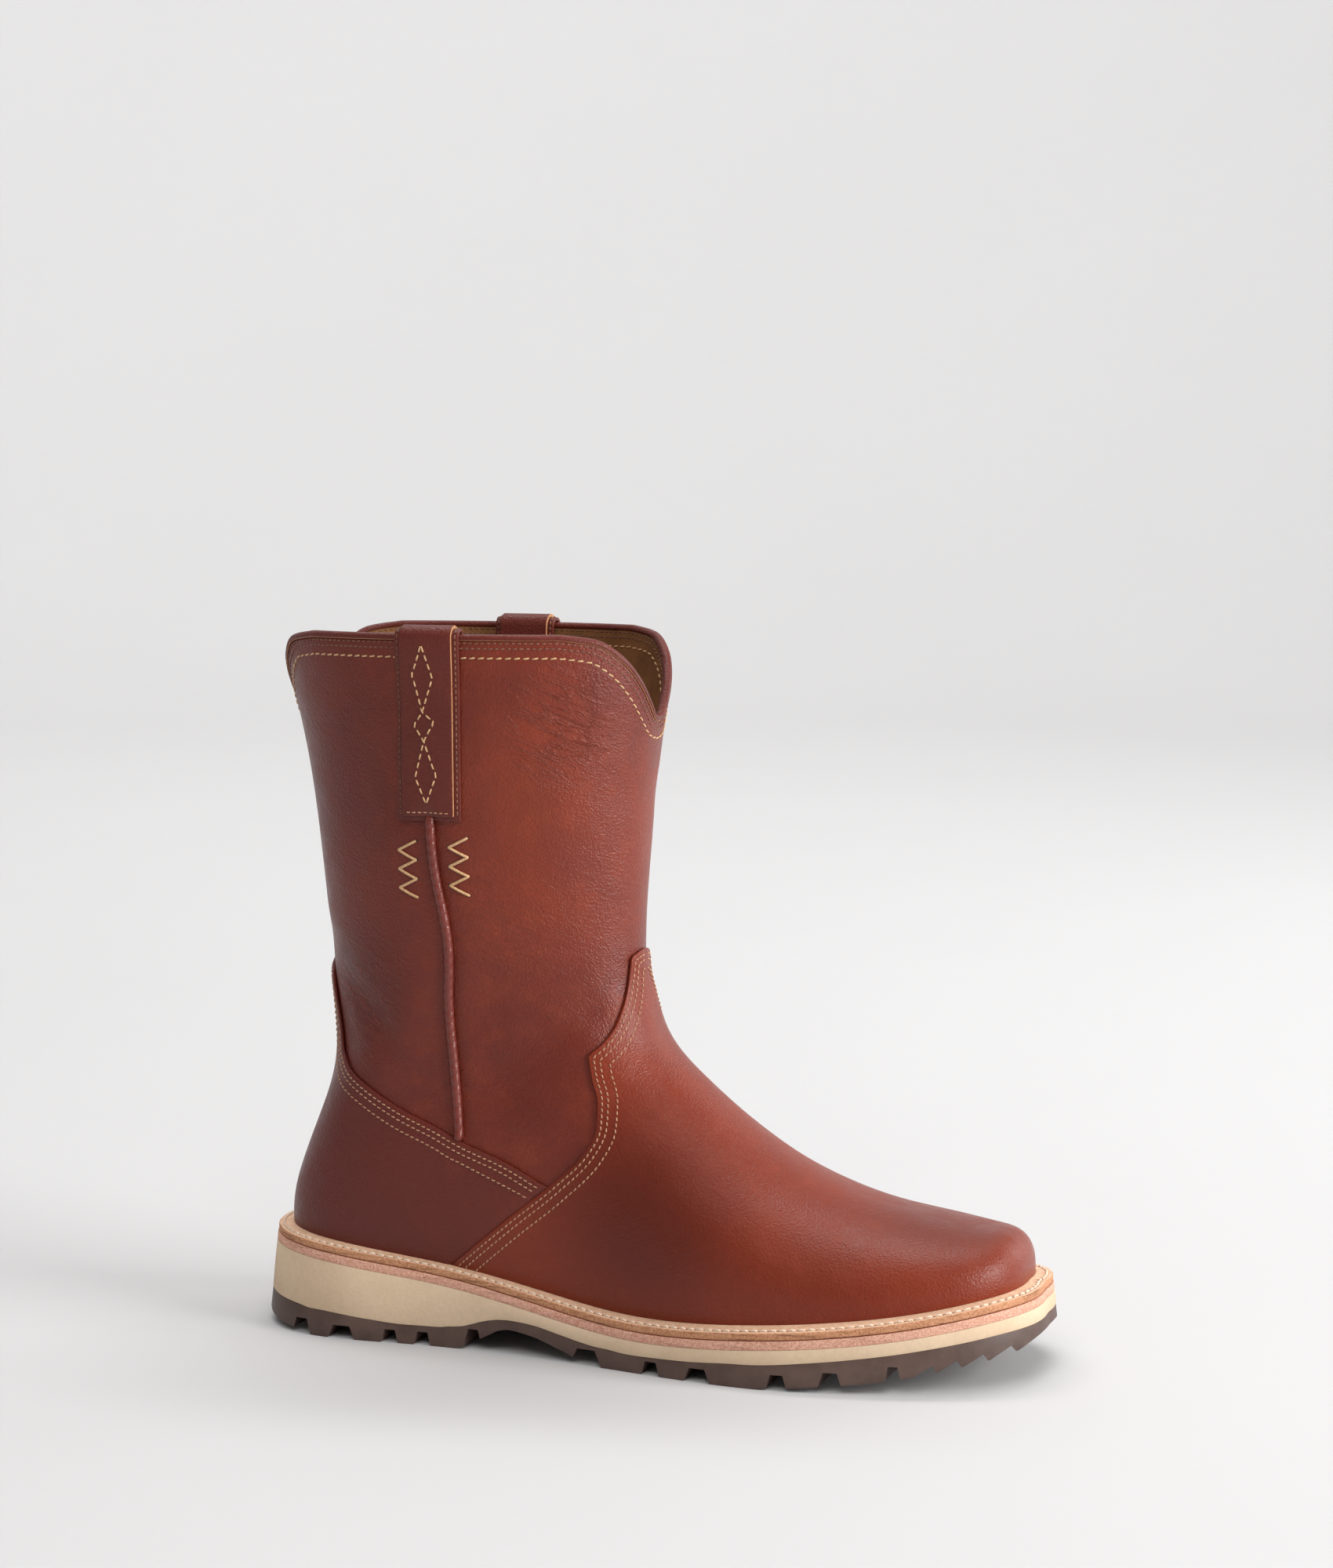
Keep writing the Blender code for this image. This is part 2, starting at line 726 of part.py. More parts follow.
def slab(name, low_loop, high_loop, low, high, collection, material):
    """Layer of the sole between two outlines, whose faces are level across the foot and
    follow the heights low and high along it."""
    count = len(low_loop)
    half = count // 2
    points = [(x, y, low(x)) for x, y in low_loop] + [(x, y, high(x)) for x, y in high_loop]
    faces = []
    for i in range(count):
        after = (i + 1) % count
        faces.append((i, i + count, after + count, after))
    for i in range(half):
        a, b, c, d = i, i + 1, count - i - 1, (count - i) % count
        ring = [a, b, c] if i == 0 else [a, b, d] if i == half - 1 else [a, b, c, d]
        faces.append(tuple(ring))
        faces.append(tuple(k + count for k in reversed(ring)))
    return mesh_object(name, points, faces, collection, material)


def layer_outline(height):
    """Outline of the sole's side where it crosses a line of heights along the foot: the side
    leans out on its way down from the welt."""
    x = section(CLEARANCE, 0.0)[:, 0]
    drop = seat(x) + CLEARANCE + WELT - height(x)
    return section(CLEARANCE, ledge() + SIDE_LEAN * drop)


def make_midsoles(collection):
    """The leather midsole that carries the upper, and the foam wedge under it."""
    leather = principled("midsole_leather", (0.62, 0.29, 0.19), 0.75)
    foam = principled("cream_foam", (0.58, 0.46, 0.29), 0.8)
    for name, low, high, material in (
        ("midsole_leather", lambda x: leather_low(x) + CLEARANCE, seat, leather),
        ("midsole_wedge", lambda x: rubber_top(x) + CLEARANCE, leather_low, foam),
    ):
        slab(name, layer_outline(low), layer_outline(high), low, high, collection, material)


def make_insole(collection):
    """The insole: it lies on the leather midsole, inside the upper's lower edge."""
    felt = principled("insole_leather", (0.46, 0.25, 0.10), 0.7)
    loop = section(CLEARANCE, -WALL - INSOLE_GAP)
    slab(
        "insole",
        loop,
        loop,
        lambda x: seat(x) + CLEARANCE,
        lambda x: seat(x) + CLEARANCE + INSOLE,
        collection,
        felt,
    )


def make_welt(collection):
    """The welt: a ring round the foot of the upper and its overlays, higher on its inside."""
    tan = principled("welt_leather", (0.72, 0.46, 0.27), 0.7)
    clear = OVERLAY + 2 * CLEARANCE + WELT_ROOM
    inner_top = WELT + WELT_RISE
    rings = [
        (section(CLEARANCE, clear), 0.0),
        (section(CLEARANCE + inner_top, clear), inner_top),
        (section(CLEARANCE, ledge()), WELT),
        (layer_outline(lambda x: seat(x) + CLEARANCE), 0.0),
    ]
    points = [(x, y, seat(x) + CLEARANCE + lift) for loop, lift in rings for x, y in loop]
    count = len(rings[0][0])
    faces = []
    for k in range(len(rings)):
        after = (k + 1) % len(rings)
        for i in range(count):
            ahead = (i + 1) % count
            faces.append(
                (k * count + ahead, after * count + ahead, after * count + i, k * count + i)
            )
    mesh_object("welt", points, faces, collection, tan)


def channel_y(x, side):
    """Middle of the lengthwise channel in the tread, on one side of the foot."""
    loop = layer_outline(tread)
    half = len(loop) // 2
    edge = loop[: half + 1] if side < 0 else np.vstack([loop[half:], loop[:1]])
    order = np.argsort(edge[:, 0])
    return CHANNEL_SHARE * np.interp(x, edge[order, 0], edge[order, 1])


def trapezium(middle, mouth, floor):
    """Four places of a groove's section, wider at its mouth: across it and up."""
    root = mouth * GROOVE_TAPER
    return [
        (middle - mouth / 2, floor - GROOVE_REACH),
        (middle + mouth / 2, floor - GROOVE_REACH),
        (middle + root / 2, floor + LUG_DEPTH),
        (middle - root / 2, floor + LUG_DEPTH),
    ]


def notch_outlines():
    """Grooves across the tread: the side notches that part the edge lugs, and the slots that
    part the middle lugs."""
    outlines = []
    for share, width in NOTCH_LINE:
        x = along(share)
        shape = trapezium(x, width * NOTCH_WIDTH, tread(x))
        for side in (-1, 1):
            ends_y = (side * BALL_WIDTH, channel_y(x, side))
            outlines.append([[(a, y, z) for a, z in shape] for y in ends_y])
    for share in SLOT_LINE:
        x = along(share)
        shape = trapezium(x, SLOT_WIDTH, tread(x))
        ends_y = (channel_y(x, -1), channel_y(x, 1))
        outlines.append([[(a, y, z) for a, z in shape] for y in ends_y])
    return outlines


def channel_rings():
    """Lengthwise channels under the heel and the forefoot, as rings of points along them."""
    rings = []
    for start, stop in CHANNEL_LINE:
        for side in (-1, 1):
            stations = np.linspace(along(start), along(stop), CHANNEL_STEPS + 1)
            rings.append(
                [
                    [(x, y, z) for y, z in trapezium(channel_y(x, side), CHANNEL_WIDTH, tread(x))]
                    for x in stations
                ]
            )
    return rings


def tooth_outlines():
    """Notches of the saw teeth under the toe: each climbs forward and drops to the next tip."""
    outlines = []
    pitch = TOOTH_PITCH
    for k in range(TEETH):
        start = along(TEETH_FROM) + k * pitch + TOOTH_LAND
        stop = along(TEETH_FROM) + (k + 1) * pitch
        top = stop - TOOTH_LEAN
        shape = [
            (start, tread(start) - GROOVE_REACH),
            (stop, tread(stop) - GROOVE_REACH),
            (stop, tread(stop)),
            (top, tread(top) + TOOTH_DEPTH),
            (start, tread(start)),
        ]
        outlines.append([[(x, y, z) for x, z in shape] for y in (-BALL_WIDTH, BALL_WIDTH)])
    return outlines


def make_outsole(collection, cutters):
    """The rubber outsole: heel, arch and forefoot in one, with lugs cut into its tread."""
    rubber = principled("brown_rubber", (0.085, 0.046, 0.035), 0.55)
    loops = layer_outline(tread), layer_outline(rubber_top)
    outsole = slab("outsole", *loops, tread, rubber_top, collection, rubber)
    for name, rings in (
        ("tread_notches", notch_outlines()),
        ("tread_channels", channel_rings()),
        ("toe_teeth", tooth_outlines()),
    ):
        cutter = cutter_object(name, *sweeps(rings), cutters)
        cut(outsole, cutter, "DIFFERENCE")


def tube(name, points, radius, cyclic, collection, material):
    """Round cord along a line of points."""
    curve = bpy.data.curves.new(name, "CURVE")
    curve.dimensions = "3D"
    curve.bevel_depth = radius
    curve.bevel_resolution = 2
    curve.use_fill_caps = not cyclic
    line = curve.splines.new("POLY")
    line.points.add(len(points) - 1)
    for slot, point in zip(line.points, points):
        slot.co = (*map(float, point), 1.0)
    line.use_cyclic_u = cyclic
    line.use_smooth = True
    curve.materials.append(material)
    thing = bpy.data.objects.new(name, curve)
    collection.objects.link(thing)


def make_binding(collection):
    """The collar's rolled binding: a cord that sits on the edge of the upper."""
    leather = principled("binding_leather", (0.145, 0.030, 0.016), 0.4)
    turn = np.linspace(-math.pi, math.pi, 2 * SIDE_COLUMNS + 1)[:-1]
    t = collar_end(turn)
    out = normal(t, turn)
    rim = surface(t, turn) - out * WALL / 2
    before = rim - np.roll(rim, 1, axis=0)
    after = np.roll(rim, -1, axis=0) - rim
    first = np.cross(out, before)
    second = np.cross(out, after)
    first /= np.linalg.norm(first, axis=1, keepdims=True)
    second /= np.linalg.norm(second, axis=1, keepdims=True)
    miter = (first + second) / (1 + (first * second).sum(axis=1, keepdims=True))
    middle = rim + miter * (CLEARANCE + BINDING_RADIUS)
    tube("collar_binding", middle, BINDING_RADIUS, True, collection, leather)


def strap_middle(z):
    """X of the middle of a pull strap at a height: the strap leans with the leg."""
    heights = (STRAP_FOOT * SHAFT_HEIGHT, SHAFT_HEIGHT)
    return np.interp(z, heights, along(np.array(STRAP_ALONG)))


def strap_points(side, width, extra):
    """Rows of points of a pull strap: up the outside, over the binding, down the inside.
    extra is how much further off the leather it lies than the base strap."""
    ring = BINDING_RADIUS + STRAP_LIFT
    spread = np.linspace(-0.5, 0.5, STRAP_COLUMNS + 1) * width * -side
    rows = []
    for z in np.linspace(STRAP_FOOT * SHAFT_HEIGHT, SHAFT_HEIGHT - ring, STRAP_ROWS):
        near_top = np.clip((z - SHAFT_HEIGHT) / STRAP_SWELL + 1, 0, 1)
        lift = STRAP_LIFT + (ring - WALL / 2 - STRAP_LIFT) * near_top**2
        rows.append(on_side(strap_middle(z) + spread, z, side, lift + extra))
    x = strap_middle(SHAFT_HEIGHT) + spread
    t, turn = place(x, SHAFT_HEIGHT, side)
    out = normal(t, turn)
    rim = surface(t, turn) - out * WALL / 2
    rim[:, 2] += CLEARANCE + BINDING_RADIUS
    flat = out * (1, 1, 0)
    flat /= np.linalg.norm(flat, axis=1, keepdims=True)
    for angle in np.linspace(0, math.pi, STRAP_ARC + 1):
        reach = flat * math.cos(angle) + np.array([0, 0, math.sin(angle)])
        rows.append(rim + reach * (ring + extra))
    for z in np.linspace(SHAFT_HEIGHT - ring, STRAP_TAIL * SHAFT_HEIGHT, STRAP_TAIL_ROWS):
        rows.append(on_side(strap_middle(z) + spread, z, side, -WALL / 2 - ring - extra))
    return np.array(rows)


def make_straps(collection):
    """Two pull straps, each a base with a narrower facing sewn on it."""
    base = principled("strap_leather", (0.135, 0.028, 0.016), 0.42)
    face = principled("strap_facing_leather", (0.160, 0.032, 0.017), 0.4)
    above = STRAP + CLEARANCE
    for side, where in ((-1, "outer"), (1, "inner")):
        for name, width, extra, material in (
            ("pull_strap_" + where, STRAP_WIDTH, 0.0, base),
            ("pull_strap_facing_" + where, FACING_WIDTH, above, face),
        ):
            points = strap_points(side, width, extra)
            faces = sheet_faces(points.shape[0], points.shape[1])
            strap = mesh_object(name, points.reshape(-1, 3), faces, collection, material)
            solidify(strap, STRAP, 1)
            smooth(strap)


def make_piping(collection):
    """The piping in the side seams, from the foot of each pull strap to the counter."""
    leather = principled("piping_leather", (0.150, 0.031, 0.016), 0.4)
    line = np.array(SEAM_LINE)
    edge = np.array(COUNTER_EDGE)
    low_x = line[-1, 0]
    low = np.interp(low_x, edge[:, 0], edge[:, 1]) * THROAT_HEIGHT + PIPING_RADIUS
    high = STRAP_FOOT * SHAFT_HEIGHT - SEAM
    z = np.linspace(high, low, PIPING_STEPS + 1)
    x = along(spline(line[::-1, 1] * SHAFT_HEIGHT, line[::-1, 0], z))
    for side, where in ((-1, "outer"), (1, "inner")):
        points = on_side(x, z, side, CLEARANCE + PIPING_RADIUS)
        tube("side_piping_" + where, points, PIPING_RADIUS, False, collection, leather)


def main():
    """Clear the scene and build the boot."""
    for thing in list(bpy.data.objects):
        bpy.data.objects.remove(thing, do_unlink=True)
    boot = bpy.data.collections.new("western_boot")
    cutters = bpy.data.collections.new("cutters")
    bpy.context.scene.collection.children.link(boot)
    bpy.context.scene.collection.children.link(cutters)
    make_outsole(boot, cutters)
    make_midsoles(boot)
    make_welt(boot)
    make_insole(boot)
    make_upper(boot)
    make_overlays(boot, cutters)
    make_binding(boot)
    make_straps(boot)
    make_piping(boot)


main()
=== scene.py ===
"""Looks of the western boot: leather, lining, stitching and sole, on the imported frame.

The frame is the part's own: the origin on the floor under the heel's tread, +X to the toe, +Y to
the inner side of the foot and +Z up, in metres. The upper is the same loft of ovals as the
solids, read here much more finely, with its creases and seams.
"""

import math

import bmesh
import bpy
import numpy as np
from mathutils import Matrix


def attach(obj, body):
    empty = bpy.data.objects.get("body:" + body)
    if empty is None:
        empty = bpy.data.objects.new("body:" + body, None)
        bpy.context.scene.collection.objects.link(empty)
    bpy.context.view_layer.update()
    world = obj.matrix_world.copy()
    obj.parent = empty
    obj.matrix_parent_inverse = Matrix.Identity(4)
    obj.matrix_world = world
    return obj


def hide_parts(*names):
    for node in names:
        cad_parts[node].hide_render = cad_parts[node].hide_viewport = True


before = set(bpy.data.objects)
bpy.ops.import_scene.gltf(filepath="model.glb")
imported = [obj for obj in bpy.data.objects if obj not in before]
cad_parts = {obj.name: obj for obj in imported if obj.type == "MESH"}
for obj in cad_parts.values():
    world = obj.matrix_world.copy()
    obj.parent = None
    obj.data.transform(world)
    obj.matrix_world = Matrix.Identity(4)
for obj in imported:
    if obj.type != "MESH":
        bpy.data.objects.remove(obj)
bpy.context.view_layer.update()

# Camera: the photo's place and angle
CAMERA_PLACE = (0.5368, -1.1915, 0.338)
CAMERA_DOWN = math.radians(5.54)
CAMERA_ROUND = math.radians(19.39)
CAMERA_LENS = 76.446
CAMERA_FILM = 36.0

# Driving sizes of the last and the leg
LAST_LENGTH = 0.296
BALL_WIDTH = 0.096
LEG_WIDTH = 0.104
HEEL_HEIGHT = 0.0352
BALL_HEIGHT = 0.0148
TOE_HEIGHT = 0.0296
INSTEP_HEIGHT = 0.110
SHAFT_HEIGHT = 0.270
HEEL_REST = 0.036
FEATHER_TUCK = 0.010
THROAT_HEIGHT = HEEL_HEIGHT + INSTEP_HEIGHT

# Leather thicknesses, and how far apart the solids stay
WALL = 0.0024
SKIN = 0.0013
OVERLAY = 0.0012
CLEARANCE = 0.0003
EDGE_ROUND = 0.0005

# Layers of the sole
WELT = 0.0024
WELT_LEDGE = 0.008
MIDSOLE_LEATHER = 0.0033
RUBBER = 0.0082
SIDE_LEAN = 0.10

# Rises of the tread, and its lugs
HEEL_CURL = 0.0055
ARCH_RISE = 0.0095
TOE_SPRING = 0.0142
LUG_DEPTH = 0.0050
LUG_WORN = 0.00035
NOTCH_WIDTH = 0.0104
SLOT_WIDTH = 0.0045
CHANNEL_WIDTH = 0.004
CHANNEL_SHARE = 0.50
GROOVE_TAPER = 0.48
GROOVE_REACH = 0.003
TEETH = 5
TEETH_FROM = 0.893
TOOTH_PITCH = 0.0083
TOOTH_DEPTH = 0.0027
TOOTH_LAND = 0.0007
TOOTH_LEAN = 0.0015

# Collar, pull straps and side piping
COLLAR_DIP = 0.032
DIP_ROUND = 0.02
BINDING_RADIUS = 0.0018
STRAP = 0.0013
STRAP_WIDTH = 0.0255
STRAP_WORN = 0.0002
FACING_WIDTH = 0.0205
STRAP_LIFT = 0.0004
STRAP_SWELL = 0.030
STRAP_FOOT = 0.753
STRAP_TAIL = 0.88
STRAP_ALONG = (0.2535, 0.2605)
PIPING_RADIUS = 0.0019
PIPING_SINK = 0.0007

# Stitches: pitch, length of the thread that shows, and its radius
FINE_STITCH = (0.0023, 0.0017, 0.00028)
BOLD_STITCH = (0.0034, 0.0026, 0.00034)
WELT_STITCH = (0.0036, 0.0030, 0.00050)
ZIG_STITCH_RADIUS = 0.00052
TURNED_EDGE = 0.0018
COLLAR_ROWS = (-0.0006, 0.0014)
COLLAR_BOLD_ROW = 0.0050

# Facings of the pull straps, and how threads and needle holes lie on the leather
FACING_RISE = 0.0020
FACING_MARGIN = 0.0016
FOOT_ROW_RISE = 0.0013
STRAP_SINK = 0.0003
STRAP_RING = BINDING_RADIUS + STRAP_LIFT + 0.0002
ZIG_SAG = 0.00045
ZIG_END = 0.02
ZIG_HOLE_RADIUS = 0.00085
OVERLAY_ROWS = (0.0020, 0.0042, 0.0077)
CORNER_CLEAR = 0.97
MIDDLE_CLEAR = 0.02
NEEDLE_RISE = 0.00006
NEEDLE_SINK = 0.00025
NEEDLE_SPREAD = 1.25
HOLE_LIFT = 0.00008
HOLE_RISE = 0.0001
HOLE_SINK = 0.0002

# Fades of the leather's relief
PRESS_REACH = 0.006
RIM_FADE = 0.02
RIM_RELIEF = 0.3

# The vamp's first rows inside its edge, the counter's last ones as shares of its height, and
# how far the counter's sides tuck under the vamp
VAMP_NEAR = (0.0, 0.00025, 0.0006, 0.0012, 0.002, 0.003, 0.0045, 0.0065)
VAMP_FAR = 0.009
TIP_ROWS = 12.0
TIP_LENGTH = 0.004
COUNTER_CLOSE = (0.0, 0.003, 0.008, 0.016, 0.028, 0.045)
COUNTER_REACH = 0.09
COUNTER_OVERLAP = 0.0015
COUNTER_UNDER = 0.0009
UNDER_FROM = 0.975
UNDER_FADE = 0.015

# Gaps between the sole's layers, and their rounded rims
LAYER_GAP = 0.0001
LEATHER_ROUND = 0.00035
FOAM_ROUND = 0.0004
RUBBER_ROUND = 0.0005
WELT_INNER_RISE = 0.0038
WELT_THREAD_LIFT = 0.0001
LEATHER_SWELL = 0.0001
FOAM_SWELL = 0.0002
RIM_SHARE = 0.3

# Stage and lights
STAGE_FLAT = 3.0
STAGE_SWEEP = 2.0
STAGE_HEIGHT = 5.0
STAGE_SIDES = 96
FLAT_RINGS = 6
SWEEP_RINGS = 24
FLOOR_GAP = 0.00005
WORLD_LIGHT = 0.21
LIGHTS = [
    # name, place, aim, width and height, watts, and whether it shows in reflections
    ("overhead", (0.40, -0.05, 2.2), (0.12, 0.0, 0.05), (1.3, 1.3), 9.0, True),
    ("front_fill", (0.45, -1.5, 1.9), (0.12, 0.0, 0.05), (1.4, 1.2), 18.0, False),
    ("key_right", (2.70, -0.30, 0.95), (0.10, 0.0, 0.12), (1.5, 1.6), 82.0, True),
    ("rim_right", (1.35, 1.40, 0.75), (0.10, 0.0, 0.12), (1.0, 1.2), 9.0, True),
    ("backdrop", (-0.7, 1.2, 4.0), (-1.4, 4.9, 0.6), (3.4, 1.5), 170.0, True),
]

# How finely the pieces are meshed
RIM_POINTS = 720
BINDING_POINTS = 384
STRAP_COLUMNS = 25
COUNTER_POINTS = 120
FOOT_POINTS = 200
BACK_POINTS = 100
CHANNEL_STATIONS = 25
EDGE_POINTS = 160
ZIG_SIDES = 8
ZIG_POINTS = 9
HOLE_RING = 10
FOOT_ROWS = 150
UPPER_ROWS = (60, 110)
UPPER_COLUMNS = 96
VAMP_ROWS = 120
VAMP_COLUMNS = 84
COUNTER_ROWS = 56
COUNTER_COLUMNS = 70
LINING_ROWS = (30, 50)
LINING_COLUMNS = 48
FINE_ROWS = 600
BACK_SEAM = 0.004
BISECTIONS = 36

SEAT_LINE = [
    # along, heel, toe
    (-0.05, 1.065, 0.0),
    (0.00, 1.0, 0.0),
    (0.10, 0.848, 0.0),
    (0.20, 0.678, 0.0),
    (0.30, 0.490, 0.0),
    (0.40, 0.245, 0.0),
    (0.50, 0.034, 0.0),
    (0.60, 0.0, 0.027),
    (0.70, 0.0, 0.169),
    (0.80, 0.0, 0.358),
    (0.90, 0.0, 0.642),
    (1.00, 0.0, 1.0),
    (1.05, 0.0, 1.128),
]
FOOT_OVALS = [
    # front, top, back, outer, inner, widest, round_top, round_low, swing, ridge
    (0.9905, 0.012, 0.9890, 0.006, 0.006, 0.50, 2.2, 2.6, 0.045, 0.000),
    (0.9950, 0.062, 0.9830, 0.115, 0.115, 0.50, 2.2, 3.0, 0.045, 0.000),
    (0.9910, 0.136, 0.9730, 0.202, 0.202, 0.50, 2.3, 3.2, 0.044, 0.000),
    (0.9750, 0.189, 0.9550, 0.280, 0.280, 0.48, 2.4, 3.4, 0.042, 0.005),
    (0.9440, 0.220, 0.9240, 0.354, 0.362, 0.46, 2.4, 3.5, 0.038, 0.010),
    (0.8850, 0.273, 0.8700, 0.425, 0.427, 0.42, 2.3, 3.5, 0.030, 0.020),
    (0.8100, 0.337, 0.8020, 0.467, 0.462, 0.38, 2.2, 3.5, 0.015, 0.035),
    (0.7400, 0.420, 0.7360, 0.490, 0.468, 0.36, 2.1, 3.5, 0.004, 0.042),
    (0.6750, 0.523, 0.6730, 0.497, 0.454, 0.35, 2.1, 3.4, 0.000, 0.040),
    (0.6150, 0.648, 0.6120, 0.490, 0.432, 0.34, 2.1, 3.3, 0.000, 0.036),
    (0.5650, 0.768, 0.5480, 0.470, 0.412, 0.34, 2.1, 3.2, 0.000, 0.030),
    (0.5300, 0.865, 0.4650, 0.438, 0.396, 0.35, 2.1, 3.2, 0.000, 0.022),
    (0.5020, 0.991, 0.3400, 0.410, 0.389, 0.38, 2.1, 3.2, 0.000, 0.014),
    (0.4880, 1.120, 0.1900, 0.400, 0.389, 0.42, 2.1, 3.3, 0.000, 0.008),
]
LEG_OVALS = [
    # front, front_up, back, back_up, width, widest, round_top, round_low
    (0.4850, 0.066, 0.0230, -0.0350, 0.366, 0.46, 2.1, 3.2),
    (0.4860, 0.172, 0.0080, 0.0370, 0.363, 0.49, 2.1, 2.9),
    (0.4890, 0.283, 0.0190, 0.1055, 0.368, 0.50, 2.1, 2.65),
    (0.4930, 0.404, 0.0430, 0.1850, 0.380, 0.50, 2.1, 2.45),
    (0.4975, 0.525, 0.0660, 0.2780, 0.396, 0.50, 2.1, 2.3),
    (0.5045, 0.667, 0.0630, 0.4130, 0.420, 0.50, 2.15, 2.2),
    (0.5120, 0.828, 0.0468, 0.6200, 0.450, 0.50, 2.2, 2.2),
    (0.5180, 0.975, 0.0232, 0.8310, 0.478, 0.50, 2.2, 2.2),
    (0.5210, 1.111, -0.0225, 1.0400, 0.500, 0.50, 2.2, 2.2),
]
LEDGE_LINE = [
    # along, outer, inner
    (-0.05, 1.10, 1.10),
    (0.10, 0.95, 0.90),
    (0.20, 0.95, 0.90),
    (0.40, 1.10, 0.85),
    (0.55, 1.25, 0.95),
    (0.70, 1.25, 1.00),
    (0.85, 1.15, 1.00),
    (1.00, 1.10, 1.10),
]
TREAD_LINE = [
    # along, curl, arch, spring, rubber
    (-0.027, 1.00, 0.0, 0.0, 0.94),
    (0.000, 0.65, 0.0, 0.0, 1.10),
    (0.054, 0.20, 0.0, 0.0, 1.20),
    (0.070, 0.0, 0.0, 0.0, 1.24),
    (0.155, 0.0, 0.0, 0.0, 1.01),
    (0.204, 0.0, 0.0, 0.0, 0.88),
    (0.251, 0.0, 0.0, 0.0, 0.89),
    (0.276, 0.0, 0.0, 0.0, 1.00),
    (0.321, 0.0, 0.62, 0.0, 0.71),
    (0.350, 0.0, 1.00, 0.0, 0.42),
    (0.385, 0.0, 0.87, 0.0, 0.50),
    (0.426, 0.0, 0.50, 0.0, 0.65),
    (0.460, 0.0, 0.15, 0.0, 0.82),
    (0.486, 0.0, 0.0, 0.0, 0.88),
    (0.527, 0.0, 0.0, 0.0, 0.77),
    (0.601, 0.0, 0.0, 0.0, 0.84),
    (0.679, 0.0, 0.0, 0.0, 1.02),
    (0.774, 0.0, 0.0, 0.148, 1.08),
    (0.858, 0.0, 0.0, 0.352, 1.12),
    (0.922, 0.0, 0.0, 0.61, 1.055),
    (0.980, 0.0, 0.0, 0.85, 1.00),
    (1.040, 0.0, 0.0, 1.13, 0.75),
]
NOTCH_LINE = [
    # along, width
    (0.057, 1.00),
    (0.118, 1.40),
    (0.186, 0.85),
    (0.231, 0.85),
    (0.303, 0.85),
    (0.466, 1.50),
    (0.559, 0.90),
    (0.624, 1.25),
    (0.729, 0.95),
    (0.795, 1.05),
    (0.870, 0.70),
]
SLOT_LINE = (0.160, 0.245, 0.510, 0.592, 0.676, 0.762, 0.835)
CHANNEL_LINE = [
    # start, stop
    (0.035, 0.320),
    (0.450, 0.880),
]
COLLAR_LINE = [
    # turn, dip
    (0.00, 1.00),
    (0.07, 0.97),
    (0.18, 0.80),
    (0.34, 0.51),
    (0.53, 0.22),
    (0.69, 0.06),
    (0.90, 0.0),
]

# Edges of the vamp in runs between its corners, from the shin down, and of the counter:
# shares of the last's length and of the throat's height
VAMP_EDGE = [
    [(0.4965, 1.075), (0.4785, 1.030)],
    [(0.4785, 1.030), (0.4775, 0.980), (0.477, 0.930), (0.473, 0.865), (0.463, 0.822), (0.445, 0.785)],
    [
        (0.445, 0.785),
        (0.452, 0.727),
        (0.462, 0.668),
        (0.464, 0.602),
        (0.453, 0.547),
        (0.412, 0.461),
        (0.352, 0.361),
        (0.270, 0.223),
        (0.250, 0.188),
    ],
]
COUNTER_EDGE = [
    [(0.058, 0.995), (0.073, 0.958), (0.081, 0.920), (0.093, 0.844), (0.104, 0.757)],
    [
        (0.104, 0.757),
        (0.119, 0.720),
        (0.150, 0.681),
        (0.200, 0.625),
        (0.249, 0.584),
        (0.285, 0.549),
        (0.345, 0.504),
        (0.4015, 0.448),
    ],
]
SEAM_LINE = [
    # along, up
    (0.253, 0.760),
    (0.258, 0.677),
    (0.267, 0.616),
    (0.271, 0.568),
    (0.268, 0.499),
    (0.273, 0.395),
    (0.280, 0.302),
]

# Soft troughs (positive depth) and swells of the leather, in side view: shares of the last's
# length and the shaft's height, reach along and across in metres, the way they run in degrees
# from +X, and depth in metres
CREASES = [
    # along, up, long, wide, way, depth
    (0.125, 0.500, 0.024, 0.006, -42, 0.0012),
    (0.170, 0.440, 0.020, 0.006, -58, 0.0008),
    (0.100, 0.560, 0.018, 0.005, -30, 0.0006),
    (0.300, 0.470, 0.014, 0.030, 0, 0.0008),
    (0.400, 0.600, 0.030, 0.018, 80, -0.0008),
    (0.345, 0.720, 0.040, 0.014, 84, 0.0007),
    (0.150, 0.780, 0.034, 0.012, 76, 0.0008),
    (0.205, 0.660, 0.030, 0.010, 70, -0.0006),
    (0.440, 0.880, 0.022, 0.010, -28, 0.0006),
    (0.470, 0.800, 0.020, 0.009, -32, 0.0005),
    (0.390, 0.930, 0.024, 0.009, -20, 0.0005),
    (0.360, 0.390, 0.020, 0.012, 30, 0.0007),
    (0.455, 0.470, 0.016, 0.006, -40, 0.0007),
    (0.500, 0.430, 0.022, 0.006, -35, 0.0006),
    (0.560, 0.330, 0.024, 0.008, -25, 0.0005),
    (0.640, 0.250, 0.024, 0.008, -12, 0.0004),
    (0.230, 0.350, 0.016, 0.008, -20, 0.0005),
]
SEAM_DEPTH = 0.0016
SEAM_REACH = 0.0036
SEAM_HEAD = 0.001
SEAM_TAIL = 0.0012
SEAM_ROWS = 120
STRAP_PRESS = 0.0006

# Columns of the joined table of ovals
FRONT_X, FRONT_Z, BACK_X, BACK_Z, OUTER, INNER = range(6)
WIDEST, ROUND_TOP, ROUND_LOW, SWING, RIDGE = range(6, 11)


